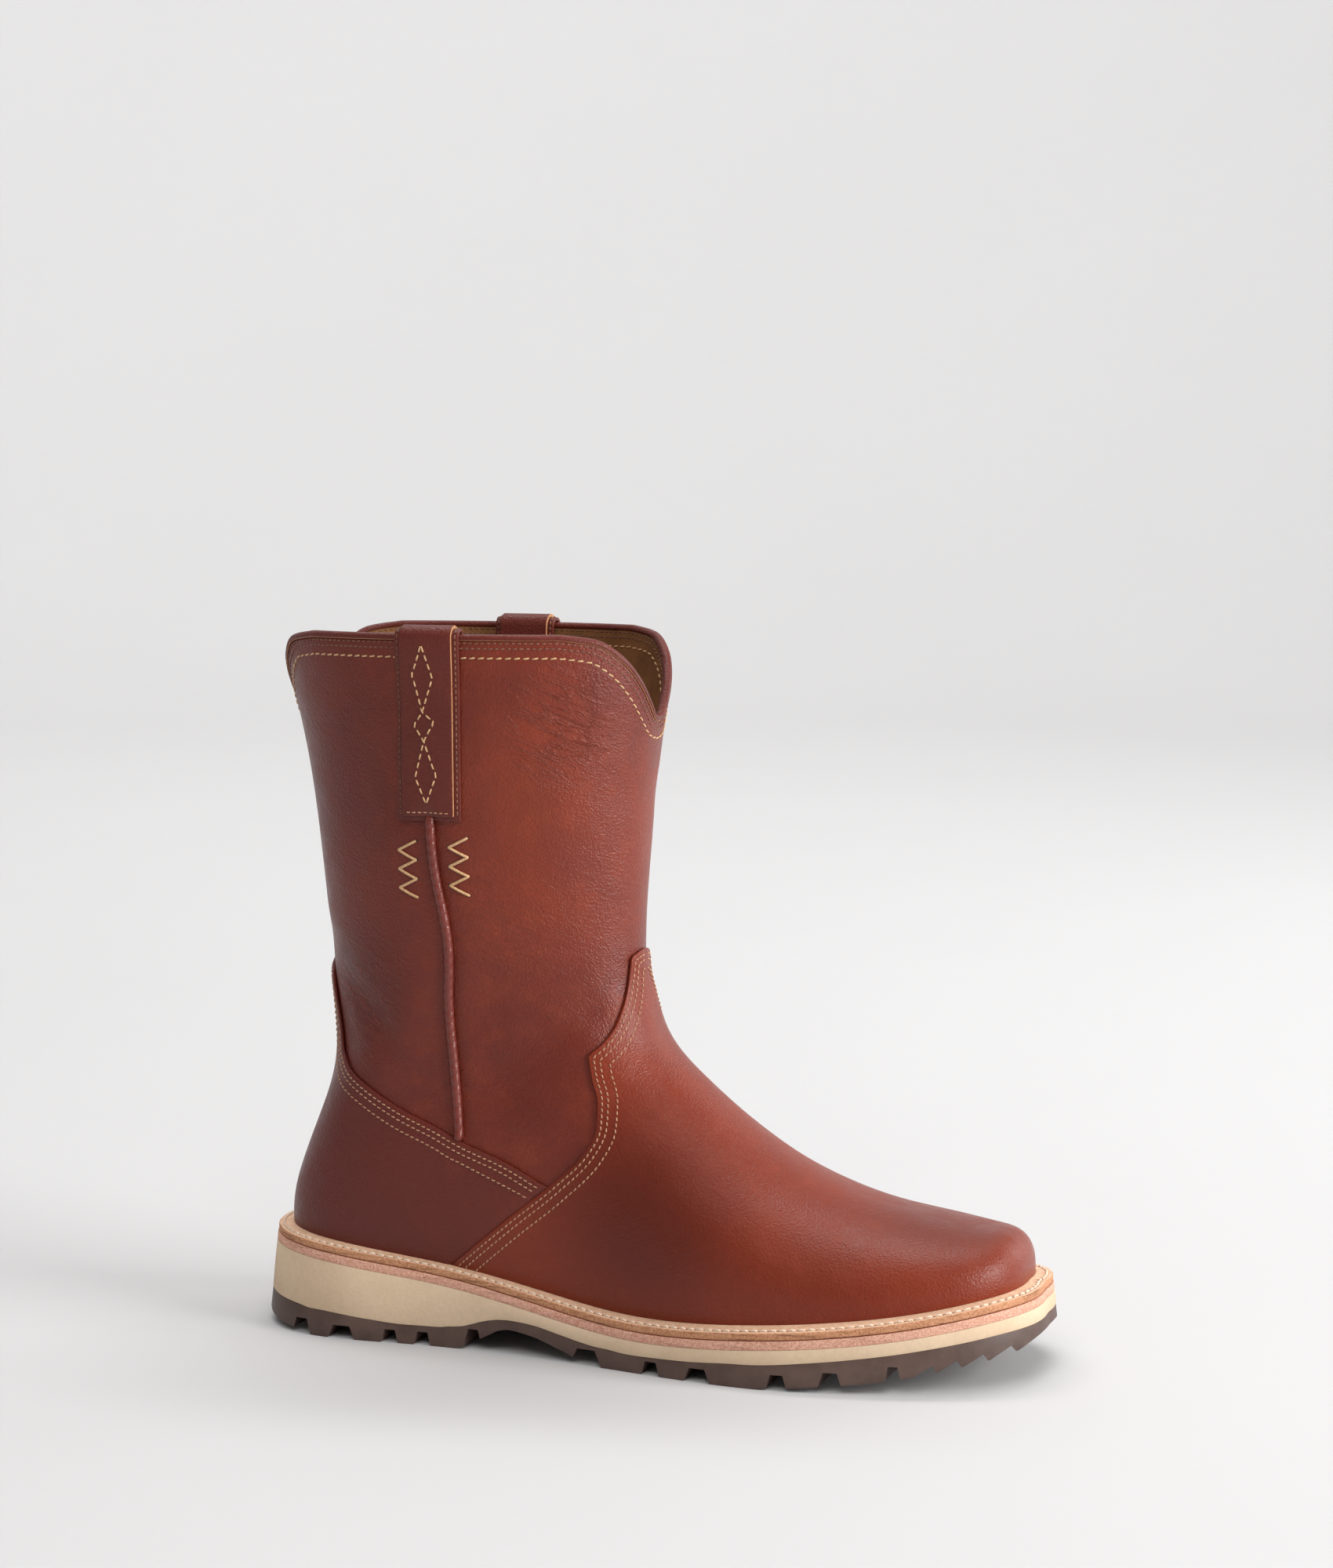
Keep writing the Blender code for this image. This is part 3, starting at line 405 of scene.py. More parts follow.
def make_camera():
    """The camera, at the photo's place and angle."""
    lens = bpy.data.cameras.new("camera")
    lens.lens = CAMERA_LENS
    lens.sensor_width = CAMERA_FILM
    lens.sensor_fit = "AUTO"
    lens.clip_start = 0.05
    lens.clip_end = 50.0
    camera = bpy.data.objects.new("camera", lens)
    camera.location = CAMERA_PLACE
    camera.rotation_euler = (math.pi / 2 - CAMERA_DOWN, 0.0, CAMERA_ROUND)
    bpy.context.scene.collection.objects.link(camera)
    bpy.context.scene.camera = camera


make_camera()


def spline(knots, values, at):
    """Natural cubic spline through values at knots, read at the places in at."""
    knots = np.asarray(knots, float)
    values = np.asarray(values, float)
    at = np.asarray(at, float)
    gaps = np.diff(knots)
    slopes = (np.diff(values, axis=0).T / gaps).T
    count = len(knots)
    matrix = np.eye(count)
    right = np.zeros(values.shape)
    for i in range(1, count - 1):
        matrix[i, i - 1 : i + 2] = gaps[i - 1], 2 * (gaps[i - 1] + gaps[i]), gaps[i]
        right[i] = 6 * (slopes[i] - slopes[i - 1])
    bend = np.linalg.solve(matrix, right)
    i = np.clip(np.searchsorted(knots, at) - 1, 0, count - 2)
    gap = gaps[i]
    ahead = (at - knots[i]) / gap
    behind = 1 - ahead
    if values.ndim > 1:
        gap, ahead, behind = (a[..., None] for a in (gap, ahead, behind))
    straight = behind * values[i] + ahead * values[i + 1]
    curved = (behind**3 - behind) * bend[i] + (ahead**3 - ahead) * bend[i + 1]
    return straight + curved * gap**2 / 6


def glide(at, knots, values):
    """Smooth line through values at knots that never swings past them."""
    knots = np.asarray(knots, float)
    values = np.asarray(values, float)
    at = np.clip(at, knots[0], knots[-1])
    gaps = np.diff(knots)
    slopes = np.diff(values) / gaps
    before, after = slopes[:-1], slopes[1:]
    alike = before * after > 0
    total = np.where(alike, before + after, 1.0)
    inner = np.where(alike, 2 * before * after / total, 0.0)
    lean = np.concatenate([slopes[:1], inner, slopes[-1:]])
    i = np.clip(np.searchsorted(knots, at) - 1, 0, len(knots) - 2)
    s = (at - knots[i]) / gaps[i]
    rise = values[i + 1] - values[i]
    blend = s * s * (3 - 2 * s)
    start = s * (1 - s) ** 2 * lean[i] * gaps[i]
    stop = s * s * (s - 1) * lean[i + 1] * gaps[i]
    return values[i] + rise * blend + start + stop


def unit(vectors):
    """Vectors brought to length 1."""
    return vectors / np.linalg.norm(vectors, axis=-1, keepdims=True)


def along(share):
    """X of a share of the last's length from the back of the heel."""
    return np.asarray(share) * LAST_LENGTH - HEEL_REST


def seat(x):
    """Height of the line on which the upper stands."""
    table = np.array(SEAT_LINE)
    heel = spline(along(table[:, 0]), table[:, 1], x)
    toe = spline(along(table[:, 0]), table[:, 2], x)
    return BALL_HEIGHT + (HEEL_HEIGHT - BALL_HEIGHT) * heel + (TOE_HEIGHT - BALL_HEIGHT) * toe


def ovals():
    """One row of real sizes for each oval, from the toe to above the collar."""
    rows = []
    for front, top, back, outer, inner, widest, high, low, swing, ridge in FOOT_OVALS:
        tuck = FEATHER_TUCK * min(1.0, top / FOOT_OVALS[1][1])
        front_point = (along(front), seat(along(front)) + top * INSTEP_HEIGHT)
        back_point = (along(back), seat(along(back)) - tuck)
        sides = (outer * BALL_WIDTH, inner * BALL_WIDTH)
        lean = (swing * BALL_WIDTH, ridge * BALL_WIDTH)
        rows.append((*front_point, *back_point, *sides, widest, high, low, *lean))
    for front, front_up, back, back_up, width, widest, high, low in LEG_OVALS:
        front_z = THROAT_HEIGHT + front_up * (SHAFT_HEIGHT - THROAT_HEIGHT)
        back_z = HEEL_HEIGHT + back_up * (SHAFT_HEIGHT - HEEL_HEIGHT)
        half = width * LEG_WIDTH
        side_view = (along(front), front_z, along(back), back_z)
        rows.append((*side_view, half, half, widest, high, low, 0.0, 0.0))
    return np.array(rows, float)


OVALS = ovals()
KNOTS = np.concatenate([[0.0], np.cumsum(np.linalg.norm(np.diff(OVALS[:, :6], axis=0), axis=1))])


def surface(t, turn):
    """Points of the upper's outside. t runs from the toe to the collar, and turn from 0 at
    the front of an oval to pi at its back, positive on the inner side of the foot."""
    row = np.moveaxis(spline(KNOTS, OVALS, t), -1, 0)
    c = np.cos(turn)
    s = np.abs(np.sin(turn))
    high = c >= 0
    power = 2 / np.where(high, row[ROUND_TOP], row[ROUND_LOW])
    reach = np.where(high, 1 - row[WIDEST], row[WIDEST])
    up = row[WIDEST] + np.sign(c) * reach * np.abs(c) ** power
    half = np.where(turn > 0, row[INNER], row[OUTER]) * s**power
    x = row[BACK_X] + (row[FRONT_X] - row[BACK_X]) * up
    z = row[BACK_Z] + (row[FRONT_Z] - row[BACK_Z]) * up
    y = row[SWING] + row[RIDGE] * up**2 + np.sign(turn) * half
    return np.stack([x, y, z], -1)


def normal(t, turn):
    """Unit normals of the upper's outside, pointing away from the foot."""
    step = 2e-4
    seam = math.pi - np.abs(turn) < BACK_SEAM
    turn = np.where(seam, np.sign(turn) * (math.pi - BACK_SEAM), turn)
    up_leg = surface(t + step, turn) - surface(t - step, turn)
    around = surface(t, turn + 4 * step) - surface(t, turn - 4 * step)
    across = np.cross(around, up_leg)
    across[..., 1] = np.where(seam, 0.0, across[..., 1])
    return unit(across)


def bisect(test, low, high):
    """Places between low and high, worked out together, where test turns from true to false."""
    low = np.array(low, float)
    high = np.array(high, float)
    for _ in range(BISECTIONS):
        middle = (low + high) / 2
        yes = test(middle)
        low = np.where(yes, middle, low)
        high = np.where(yes, high, middle)
    return (low + high) / 2


def ends(t):
    """Front and back points of the ovals at t, in side view."""
    row = spline(KNOTS, OVALS, t)
    return row[..., [FRONT_X, FRONT_Z]], row[..., [BACK_X, BACK_Z]]


def place(x, z, side):
    """t and turn of the point of the outside that lies at x and z in side view. side is +1
    for the inner side of the foot and -1 for the outer side."""
    x, z = np.broadcast_arrays(np.asarray(x, float), np.asarray(z, float))

    def past(t):
        front, back = ends(t)
        line = front - back
        return line[..., 0] * (z - back[..., 1]) - line[..., 1] * (x - back[..., 0]) > 0

    t = bisect(past, np.zeros(x.shape), np.full(x.shape, KNOTS[-1]))
    front, back = ends(t)
    row = np.moveaxis(spline(KNOTS, OVALS, t), -1, 0)
    line = front - back
    offset = np.stack([x, z], -1) - back
    up = (offset * line).sum(-1) / (line * line).sum(-1)
    high = up >= row[WIDEST]
    power = np.where(high, row[ROUND_TOP], row[ROUND_LOW]) / 2
    reach = np.where(high, 1 - row[WIDEST], row[WIDEST])
    share = np.clip(np.abs(up - row[WIDEST]) / reach, 0, 1)
    return t, side * np.arccos(np.where(high, 1, -1) * share**power)


def foot_end(height):
    """t at which the back of the ovals leaves the seat and stands height above it."""

    def under(t):
        back = ends(t)[1]
        return back[..., 1] < seat(back[..., 0]) + height

    return float(bisect(under, KNOTS[len(FOOT_OVALS) - 1], KNOTS[len(FOOT_OVALS) + 2]))


def foot_start(height):
    """t at which the front of the ovals stands height above the seat at the toe."""

    def under(t):
        front = ends(t)[0]
        return front[..., 1] < seat(front[..., 0]) + height

    return float(bisect(under, 0.0, KNOTS[2]))


def edge_turn(t, height):
    """How far round the ovals at t the upper reaches, to stand height above the seat."""

    def above(turn):
        point = surface(t, turn)
        return point[..., 2] > seat(point[..., 0]) + height

    t = np.asarray(t, float)
    return bisect(above, np.zeros(t.shape), np.full(t.shape, math.pi))


def fine_measure():
    """t along the foot, finely, and how far each has come: outline length and turning."""
    t = np.linspace(foot_start(CLEARANCE), foot_end(CLEARANCE), FINE_ROWS)
    line = surface(t, -edge_turn(t, CLEARANCE))[:, :2]
    steps = np.diff(line, axis=0)
    lengths = np.linalg.norm(steps, axis=1)
    headings = np.unwrap(np.arctan2(steps[:, 1], steps[:, 0]))
    turning = np.abs(np.diff(headings, prepend=headings[0]))
    measure = np.cumsum(lengths / lengths.sum() + turning / turning.sum())
    return t, np.concatenate([[0.0], measure])


FINE_T, FINE_MEASURE = fine_measure()


def foot_rows(count):
    """t of count + 1 rows along the foot, closer together at the toe and the heel."""
    return np.interp(np.linspace(0, FINE_MEASURE[-1], count + 1), FINE_MEASURE, FINE_T)


def collar_dip(turn):
    """How far the collar lies under the height of its sides."""
    table = np.array(COLLAR_LINE)
    away = np.minimum(np.abs(turn), math.pi - np.abs(turn))
    rounded = np.hypot(away, DIP_ROUND) - DIP_ROUND
    return COLLAR_DIP * glide(rounded, table[:, 0], table[:, 1])


def collar_end(turn):
    """t at which the upper ends at its collar, for each turn."""

    def under(t):
        return surface(t, turn)[..., 2] < SHAFT_HEIGHT - collar_dip(turn)

    turn = np.asarray(turn, float)
    low = np.full(turn.shape, KNOTS[len(FOOT_OVALS)])
    return bisect(under, low, np.full(turn.shape, KNOTS[-1]))


def polyline_distance(x, z, line):
    """Distance in side view from each point to the nearest of a line's points."""
    flat = np.stack([np.ravel(x), np.ravel(z)], -1)
    best = np.full(len(flat), 1.0)
    for point in line:
        best = np.minimum(best, np.hypot(flat[:, 0] - point[0], flat[:, 1] - point[1]))
    return best.reshape(np.shape(x))


def seam_points(count):
    """X and Z along the side seam, from the strap's foot to the counter."""
    line = np.array(SEAM_LINE)
    edge = np.array(COUNTER_EDGE[1])
    low = np.interp(line[-1, 0], edge[:, 0], edge[:, 1]) * THROAT_HEIGHT
    z = np.linspace(STRAP_FOOT * SHAFT_HEIGHT + SEAM_HEAD, low + SEAM_TAIL, count)
    x = along(spline(line[::-1, 1] * SHAFT_HEIGHT, line[::-1, 0], z))
    return np.stack([x, z], -1)


SEAM_POINTS = seam_points(SEAM_ROWS)


def relief(point):
    """How far the leather lies off its smooth form at each point: creases, and the seams."""
    x, _, z = np.moveaxis(point, -1, 0)
    total = np.zeros(x.shape)
    for share, up, long, wide, way, depth in CREASES:
        cos, sin = math.cos(math.radians(way)), math.sin(math.radians(way))
        dx = x - along(share)
        dz = z - up * SHAFT_HEIGHT
        u = (dx * cos + dz * sin) / long
        v = (dz * cos - dx * sin) / wide
        total -= depth * np.exp(-(u * u) - v * v)
    far = polyline_distance(x, z, SEAM_POINTS[::4])
    total -= SEAM_DEPTH * np.exp(-((far / SEAM_REACH) ** 2))
    strap = np.abs(x - along(np.mean(STRAP_ALONG))) - STRAP_WIDTH / 2
    edge = np.exp(-((np.maximum(strap, 0) / PRESS_REACH) ** 2))
    high = np.clip((z - STRAP_FOOT * SHAFT_HEIGHT) / PRESS_REACH + 1, 0, 1)
    total -= STRAP_PRESS * edge * high
    fade = np.clip((SHAFT_HEIGHT - z) / RIM_FADE, 0, 1)
    return total * (RIM_RELIEF + (1 - RIM_RELIEF) * fade)


def skin(t, turn, lift):
    """Points that stand lift off the leather at t and turn, and the normals there."""
    t, turn = np.broadcast_arrays(np.asarray(t, float), np.asarray(turn, float))
    bare = surface(t, turn)
    out = normal(np.maximum(t, KNOTS[1] * 0.5), turn)
    rise = np.asarray(lift) + relief(bare)
    return bare + out * rise[..., None], out


def runs(table, up, count):
    """X and Z along an edge given in runs between corners, smooth inside each run."""
    parts = []
    for run in table:
        points = np.array(run)
        line = np.stack([along(points[:, 0]), points[:, 1] * up], -1)
        steps = np.linalg.norm(np.diff(line, axis=0), axis=1)
        far = np.concatenate([[0.0], np.cumsum(steps)])
        at = np.linspace(0, far[-1], count)
        smooth = np.stack([glide(at, far, line[:, 0]), glide(at, far, line[:, 1])], -1)
        parts.append(smooth if not parts else smooth[1:])
    return np.vstack(parts)


def grid_faces(rows, columns, wrap=False):
    """Quads of a grid of points, rows by columns, closed across its columns with wrap."""
    across = columns if wrap else columns - 1
    i, j = np.meshgrid(np.arange(rows - 1), np.arange(across), indexing="ij")
    low = i * columns
    high = low + columns
    after = (j + 1) % columns
    quads = np.stack([low + j, low + after, high + after, high + j], -1)
    return quads.reshape(-1, 4).tolist()


def piece(name, points, faces, materials, slot, stands_for=()):
    """Object of a mesh that rides on the boot, with its materials. slot is not used."""
    mesh = bpy.data.meshes.new(name)
    mesh.from_pydata(np.asarray(points, float).reshape(-1, 3).tolist(), [], faces)
    mesh.shade_smooth()
    for material in materials:
        mesh.materials.append(material)
    thing = bpy.data.objects.new(name, mesh)
    bpy.context.scene.collection.objects.link(thing)
    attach(thing, "root")
    if stands_for:
        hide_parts(*stands_for)
    return thing


def solidify(thing, thickness, offset, rim=0):
    """Give a sheet its thickness, inward with offset -1 and outward with +1."""
    wall = thing.modifiers.new("wall", "SOLIDIFY")
    wall.thickness = thickness
    wall.offset = offset
    wall.material_offset_rim = rim


def sharp(thing, degrees):
    """Keep the edges sharp where faces meet at more than an angle."""
    thing.data.set_sharp_from_angle(angle=math.radians(degrees))


def worn_edge(thing, width):
    """Round a piece's hard edges a little."""
    rounding = thing.modifiers.new("worn edge", "BEVEL")
    rounding.width = width
    rounding.segments = 2
    rounding.limit_method = "ANGLE"
    rounding.angle_limit = math.radians(50)


def outward(mesh):
    """Turn the faces of a closed mesh outward."""
    shape = bmesh.new()
    shape.from_mesh(mesh)
    bmesh.ops.recalc_face_normals(shape, faces=shape.faces)
    shape.to_mesh(mesh)
    shape.free()


def lengths_of(points, closed=False):
    """How far each point of a line has come, and the whole length."""
    ring = np.vstack([points, points[:1]]) if closed else points
    steps = np.linalg.norm(np.diff(ring, axis=0), axis=1)
    return np.concatenate([[0.0], np.cumsum(steps)])


def even_line(t, turn, count):
    """t and turn of count + 1 points at equal steps along a line on the leather."""
    far = lengths_of(surface(t, turn))
    at = np.linspace(0, far[-1], count + 1)
    return np.interp(at, far, t), np.interp(at, far, turn)


def moved(t, turn, target, steps=4):
    """t and turn of the points of the leather nearest to target, starting from t and turn."""
    small = 1e-5
    for _ in range(steps):
        here = surface(t, turn)
        by_t = (surface(t + small, turn) - here) / small
        by_turn = (surface(t, turn + small) - here) / small
        gap = target - here
        a = (by_t * by_t).sum(-1)
        b = (by_t * by_turn).sum(-1)
        c = (by_turn * by_turn).sum(-1)
        d = (gap * by_t).sum(-1)
        e = (gap * by_turn).sum(-1)
        whole = a * c - b * b
        t = t + np.clip((c * d - b * e) / whole, -0.01, 0.01)
        turn = turn + np.clip((a * e - b * d) / whole, -0.2, 0.2)
    return t, turn


def beside(t, turn, distance, closed=False):
    """Line that runs beside another on the leather, at a distance to its left."""
    here = surface(t, turn)
    if closed:
        ahead = np.roll(here, -1, axis=0) - np.roll(here, 1, axis=0)
    else:
        ahead = np.gradient(here, axis=0)
    left = unit(np.cross(normal(t, turn), unit(ahead)))
    return moved(t, turn, here + left * distance)


def edge_line(table, side, count):
    """t and turn along an edge on one side of the foot, from its top down, run by run."""
    lines = []
    for run in table:
        xz = runs([run], THROAT_HEIGHT, count)
        t, turn = place(xz[:, 0], xz[:, 1], 1.0)
        lines.append((t, turn * side))
    return lines


def row_beside(table, side, distance, count=90):
    """t and turn of a line at a distance inside an edge, mitred at its corners."""
    lines = edge_line(table, side, count)
    edge = np.vstack([surface(t, turn) for t, turn in lines])
    sets = []
    for t, turn in lines:
        free = (np.abs(turn) > MIDDLE_CLEAR) & (np.abs(turn) < math.pi - MIDDLE_CLEAR)
        row_t, row_turn = beside(t[free], turn[free], distance * side)
        points = surface(row_t, row_turn)
        gaps = np.linalg.norm(points[:, None] - edge[None], axis=2).min(axis=1)
        keep = gaps > abs(distance) * CORNER_CLEAR
        sets.append((row_t[keep], row_turn[keep]))
    return np.concatenate([s[0] for s in sets]), np.concatenate([s[1] for s in sets])


def whole_steps(length, step):
    """Whole number of steps that suits a length."""
    return max(1, int(round(length / step)))


STITCH_RINGS = [
    # along, radius, height
    (-0.50, 0.40, -0.90),
    (-0.36, 0.90, 0.10),
    (0.00, 1.00, 0.45),
    (0.36, 0.90, 0.10),
    (0.50, 0.40, -0.90),
]
STITCH_SIDES = 6
HOLE_SIDES = 6


def stitches(name, lines, size, thread, slot, slant=9.0, closed=False, lift=0.0):
    """Short stitches along lines of (points, normals), joined into one piece, with the needle holes between
    them as its second material, painted near-black as shade."""
    pitch, length, radius = size
    points = []
    faces = []
    holes = []
    cos, sin = math.cos(math.radians(slant)), math.sin(math.radians(slant))
    for line, out in lines:
        far = lengths_of(line, closed)
        ring = np.vstack([line, line[:1]]) if closed else line
        ring_out = np.vstack([out, out[:1]]) if closed else out
        count = whole_steps(far[-1], pitch)
        step = far[-1] / count
        middles = (np.arange(count) + 0.5) * step
        reach = step * length / pitch / 2

        def at(s):
            s = np.clip(s, 0, far[-1])
            return np.stack([np.interp(s, far, ring[:, k]) for k in range(3)], -1)

        centre = at(middles)
        ahead = unit(at(middles + reach) - at(middles - reach))
        up = np.stack([np.interp(middles, far, ring_out[:, k]) for k in range(3)], -1)
        up = unit(up - ahead * (up * ahead).sum(-1, keepdims=True))
        aside = np.cross(up, ahead)
        ahead, aside = ahead * cos + aside * sin, aside * cos - ahead * sin
        centre = centre + up * lift
        angles = np.arange(STITCH_SIDES) * 2 * math.pi / STITCH_SIDES
        for k in range(count):
            start = len(points)
            for share, wide, high in STITCH_RINGS:
                hub = centre[k] + ahead[k] * share * 2 * reach + up[k] * high * radius
                for angle in angles:
                    spoke = aside[k] * math.cos(angle) + up[k] * math.sin(angle)
                    points.append(hub + spoke * wide * radius)
            for r in range(len(STITCH_RINGS) - 1):
                for s in range(STITCH_SIDES):
                    a = start + r * STITCH_SIDES + s
                    b = start + r * STITCH_SIDES + (s + 1) % STITCH_SIDES
                    faces.append((a, b, b + STITCH_SIDES, a + STITCH_SIDES))
            faces.append(tuple(start + s for s in reversed(range(STITCH_SIDES))))
            last = start + (len(STITCH_RINGS) - 1) * STITCH_SIDES
            faces.append(tuple(last + s for s in range(STITCH_SIDES)))
            holes.append((centre[k] + ahead[k] * (step / 2), ahead[k], aside[k], up[k]))
    hole_from = len(faces)
    for hub, ahead_k, aside_k, up_k in holes:
        start = len(points)
        points.append(hub + up_k * NEEDLE_RISE)
        for s in range(HOLE_SIDES):
            angle = s * 2 * math.pi / HOLE_SIDES
            spoke = ahead_k * math.cos(angle) * 0.9 + aside_k * math.sin(angle)
            points.append(hub + spoke * radius * NEEDLE_SPREAD - up_k * NEEDLE_SINK)
        for s in range(HOLE_SIDES):
            faces.append((start, start + 1 + s, start + 1 + (s + 1) % HOLE_SIDES))
    thing = piece(name, np.array(points), faces, (thread, MATERIALS["needle_hole_shade"]), slot)
    index = np.zeros(len(faces), dtype=np.int32)
    index[hole_from:] = 1
    thing.data.polygons.foreach_set("material_index", index)
    return thing


def start_material(name, roughness, **constants):
    """Material with a Principled shader, and the object's own coordinates."""
    material = bpy.data.materials.new(name)
    material.use_nodes = True
    tree = material.node_tree
    shader = tree.nodes["Principled BSDF"]
    shader.inputs["Roughness"].default_value = roughness
    for key, value in constants.items():
        shader.inputs[key.replace("_", " ")].default_value = value
    coordinates = tree.nodes.new("ShaderNodeTexCoord")
    return material, tree, shader, coordinates.outputs["Object"]


def node(tree, kind, inputs, **settings):
    """Outputs of a new node, with its settings, and its inputs linked or set."""
    made = tree.nodes.new("ShaderNode" + kind)
    for key, value in settings.items():
        setattr(made, key, value)
    for key, value in inputs.items():
        if isinstance(value, bpy.types.NodeSocket):
            tree.links.new(value, made.inputs[key])
        else:
            made.inputs[key].default_value = value
    return made.outputs


def noise(tree, vector, scale, detail=3.0, roughness=0.5, distortion=0.0, stretch=None, turn=(0, 0, 0)):
    """Noise value over the surface, stretched and turned if asked."""
    if stretch:
        scales = [1 / share for share in stretch]
        mapping = {"Vector": vector, "Scale": scales, "Rotation": turn}
        vector = node(tree, "Mapping", mapping, vector_type="TEXTURE")["Vector"]
    inputs = {"Scale": scale, "Detail": detail, "Roughness": roughness, "Distortion": distortion}
    return node(tree, "TexNoise", {**inputs, "Vector": vector})["Fac"]


def cells(tree, vector, scale):
    """Distance to the nearest cell's middle over the surface."""
    return node(tree, "TexVoronoi", {"Scale": scale, "Vector": vector})["Distance"]


def remap(tree, value, low, high, to_low=0.0, to_high=1.0):
    """Value carried from one range to another, smoothly and held at its ends."""
    inputs = {"Value": value, "From Min": low, "From Max": high, "To Min": to_low, "To Max": to_high}
    return node(tree, "MapRange", inputs, interpolation_type="SMOOTHSTEP")["Result"]


def mix(tree, share, first, second):
    """Colour between two colours by a share, each a socket or a fixed value."""
    made = tree.nodes.new("ShaderNodeMix")
    made.data_type = "RGBA"
    for name, value in (("Factor", share), ("A", first), ("B", second)):
        target = next(s for s in made.inputs if s.name == name and s.enabled)
        if isinstance(value, bpy.types.NodeSocket):
            tree.links.new(value, target)
        elif isinstance(value, (int, float)):
            target.default_value = value
        else:
            target.default_value = (*value, 1.0)
    return next(s for s in made.outputs if s.enabled)


def bump(tree, heights):
    """Chain of bumps from (value, strength, distance) rows."""
    before = {}
    for value, strength, distance in heights:
        inputs = {"Strength": strength, "Distance": distance, "Height": value, **before}
        before = {"Normal": node(tree, "Bump", inputs)["Normal"]}
    return before["Normal"]


def axis_value(tree, vector, axis):
    """One coordinate of a place."""
    return node(tree, "SeparateXYZ", {"Vector": vector})[axis]


def spot(tree, where, centre, radius):
    """Share that falls softly from 1 at a place to 0 at a radius from it."""
    far = node(tree, "VectorMath", {0: where, 1: centre}, operation="DISTANCE")["Value"]
    return remap(tree, far, 0.0, radius, 1.0, 0.0)


def product(tree, first, second):
    """Product of two values."""
    return node(tree, "Math", {0: first, 1: second}, operation="MULTIPLY")["Value"]


def dress(tree, shader, colour, heights):
    """Give a shader its colour and its bumps."""
    tree.links.new(colour, shader.inputs["Base Color"])
    shade = bump(tree, heights)
    tree.links.new(shade, shader.inputs["Normal"])
    return shade


# How deep the painted shade in spots goes, as a share of the dark tone
SHADE_DARKEN = 0.7


def leather(name, dark, middle, light, roughness, coat, grain, spots):
    """Oiled leather: cloudy colour, fine pores and grain, stretch marks and a soft gloss, painted shade
    towards the heel, and in spots fine wrinkles, rubbed tones and painted shade."""
    material, tree, shader, where = start_material(
        name, roughness, Coat_Weight=coat, Coat_Roughness=0.20, Coat_IOR=1.45, Specular_IOR_Level=0.27
    )
    clouds = noise(tree, where, 13.0, 4.0, 0.55, 0.6)
    mottle = noise(tree, where, 95.0, 5.0, 0.62, 0.3)
    pull = noise(tree, where, 60.0, 6.0, 0.62, 0.8, (0.5, 0.5, 2.6), (0.0, math.radians(28), 0.0))
    fine = noise(tree, where, 900.0, 3.0, 0.6)
    lean = (0.0, math.radians(27), 0.0)
    wrinkles = noise(tree, where, 250.0, 4.0, 0.55, 0.7, (0.26, 0.26, 1.5), lean)
    rising = remap(tree, wrinkles, 0.44, 0.50)
    creased = product(tree, rising, remap(tree, wrinkles, 0.50, 0.56, 1.0, 0.0))
    colour = mix(tree, remap(tree, clouds, 0.25, 0.70, 0.15, 1.0), dark, middle)
    colour = mix(tree, remap(tree, mottle, 0.45, 0.85, 0.0, 0.6), colour, light)
    # Painted shade: every leather is mixed towards its dark tone at the heel end, by up to 0.55 behind x =
    # -0.03, fading out at x = 0.10
    front = remap(tree, axis_value(tree, where, "X"), -0.03, 0.10)
    colour = mix(tree, remap(tree, front, 0.0, 1.0, 0.55, 0.0), colour, dark)
    veins = remap(tree, pull, 0.60, 0.74)
    colour = mix(tree, remap(tree, veins, 0.0, 1.0, 0.0, 0.16), colour, light)
    colour = mix(tree, remap(tree, fine, 0.35, 0.65, 0.0, 0.24), colour, dark)
    pores = cells(tree, where, 1250.0)
    pebbles = noise(tree, where, 800.0, 3.0, 0.6)
    ripples = noise(tree, where, 150.0, 3.0, 0.5, 0.4)
    heights = [
        (ripples, 0.14 * grain, 0.0015),
        (pull, 0.24 * grain, 0.0008),
        (pebbles, 0.70 * grain, 0.00034),
        (pores, 0.62 * grain, 0.00026),
    ]
    for centre, radius, wrinkled, warmth, shaded in spots:
        share = spot(tree, where, centre, radius)
        # Painted shade: a spot's shade column darkens it towards a deeper copy of the dark tone
        if shaded:
            shade_colour = tuple(c * SHADE_DARKEN for c in dark)
            colour = mix(tree, remap(tree, share, 0.0, 1.0, 0.0, shaded), colour, shade_colour)
        if warmth:
            rubbed = remap(tree, product(tree, share, clouds), 0.05, 0.6, 0.0, warmth)
            colour = mix(tree, rubbed, colour, light)
        if wrinkled:
            crease = product(tree, share, creased)
            colour = mix(tree, remap(tree, crease, 0.1, 0.9, 0.0, 0.30), colour, light)
            heights.append((crease, wrinkled, 0.0006))
    tree.links.new(dress(tree, shader, colour, heights), shader.inputs["Coat Normal"])
    gloss = remap(tree, mottle, 0.3, 0.7, roughness - 0.05, roughness + 0.09)
    tree.links.new(gloss, shader.inputs["Roughness"])
    return material


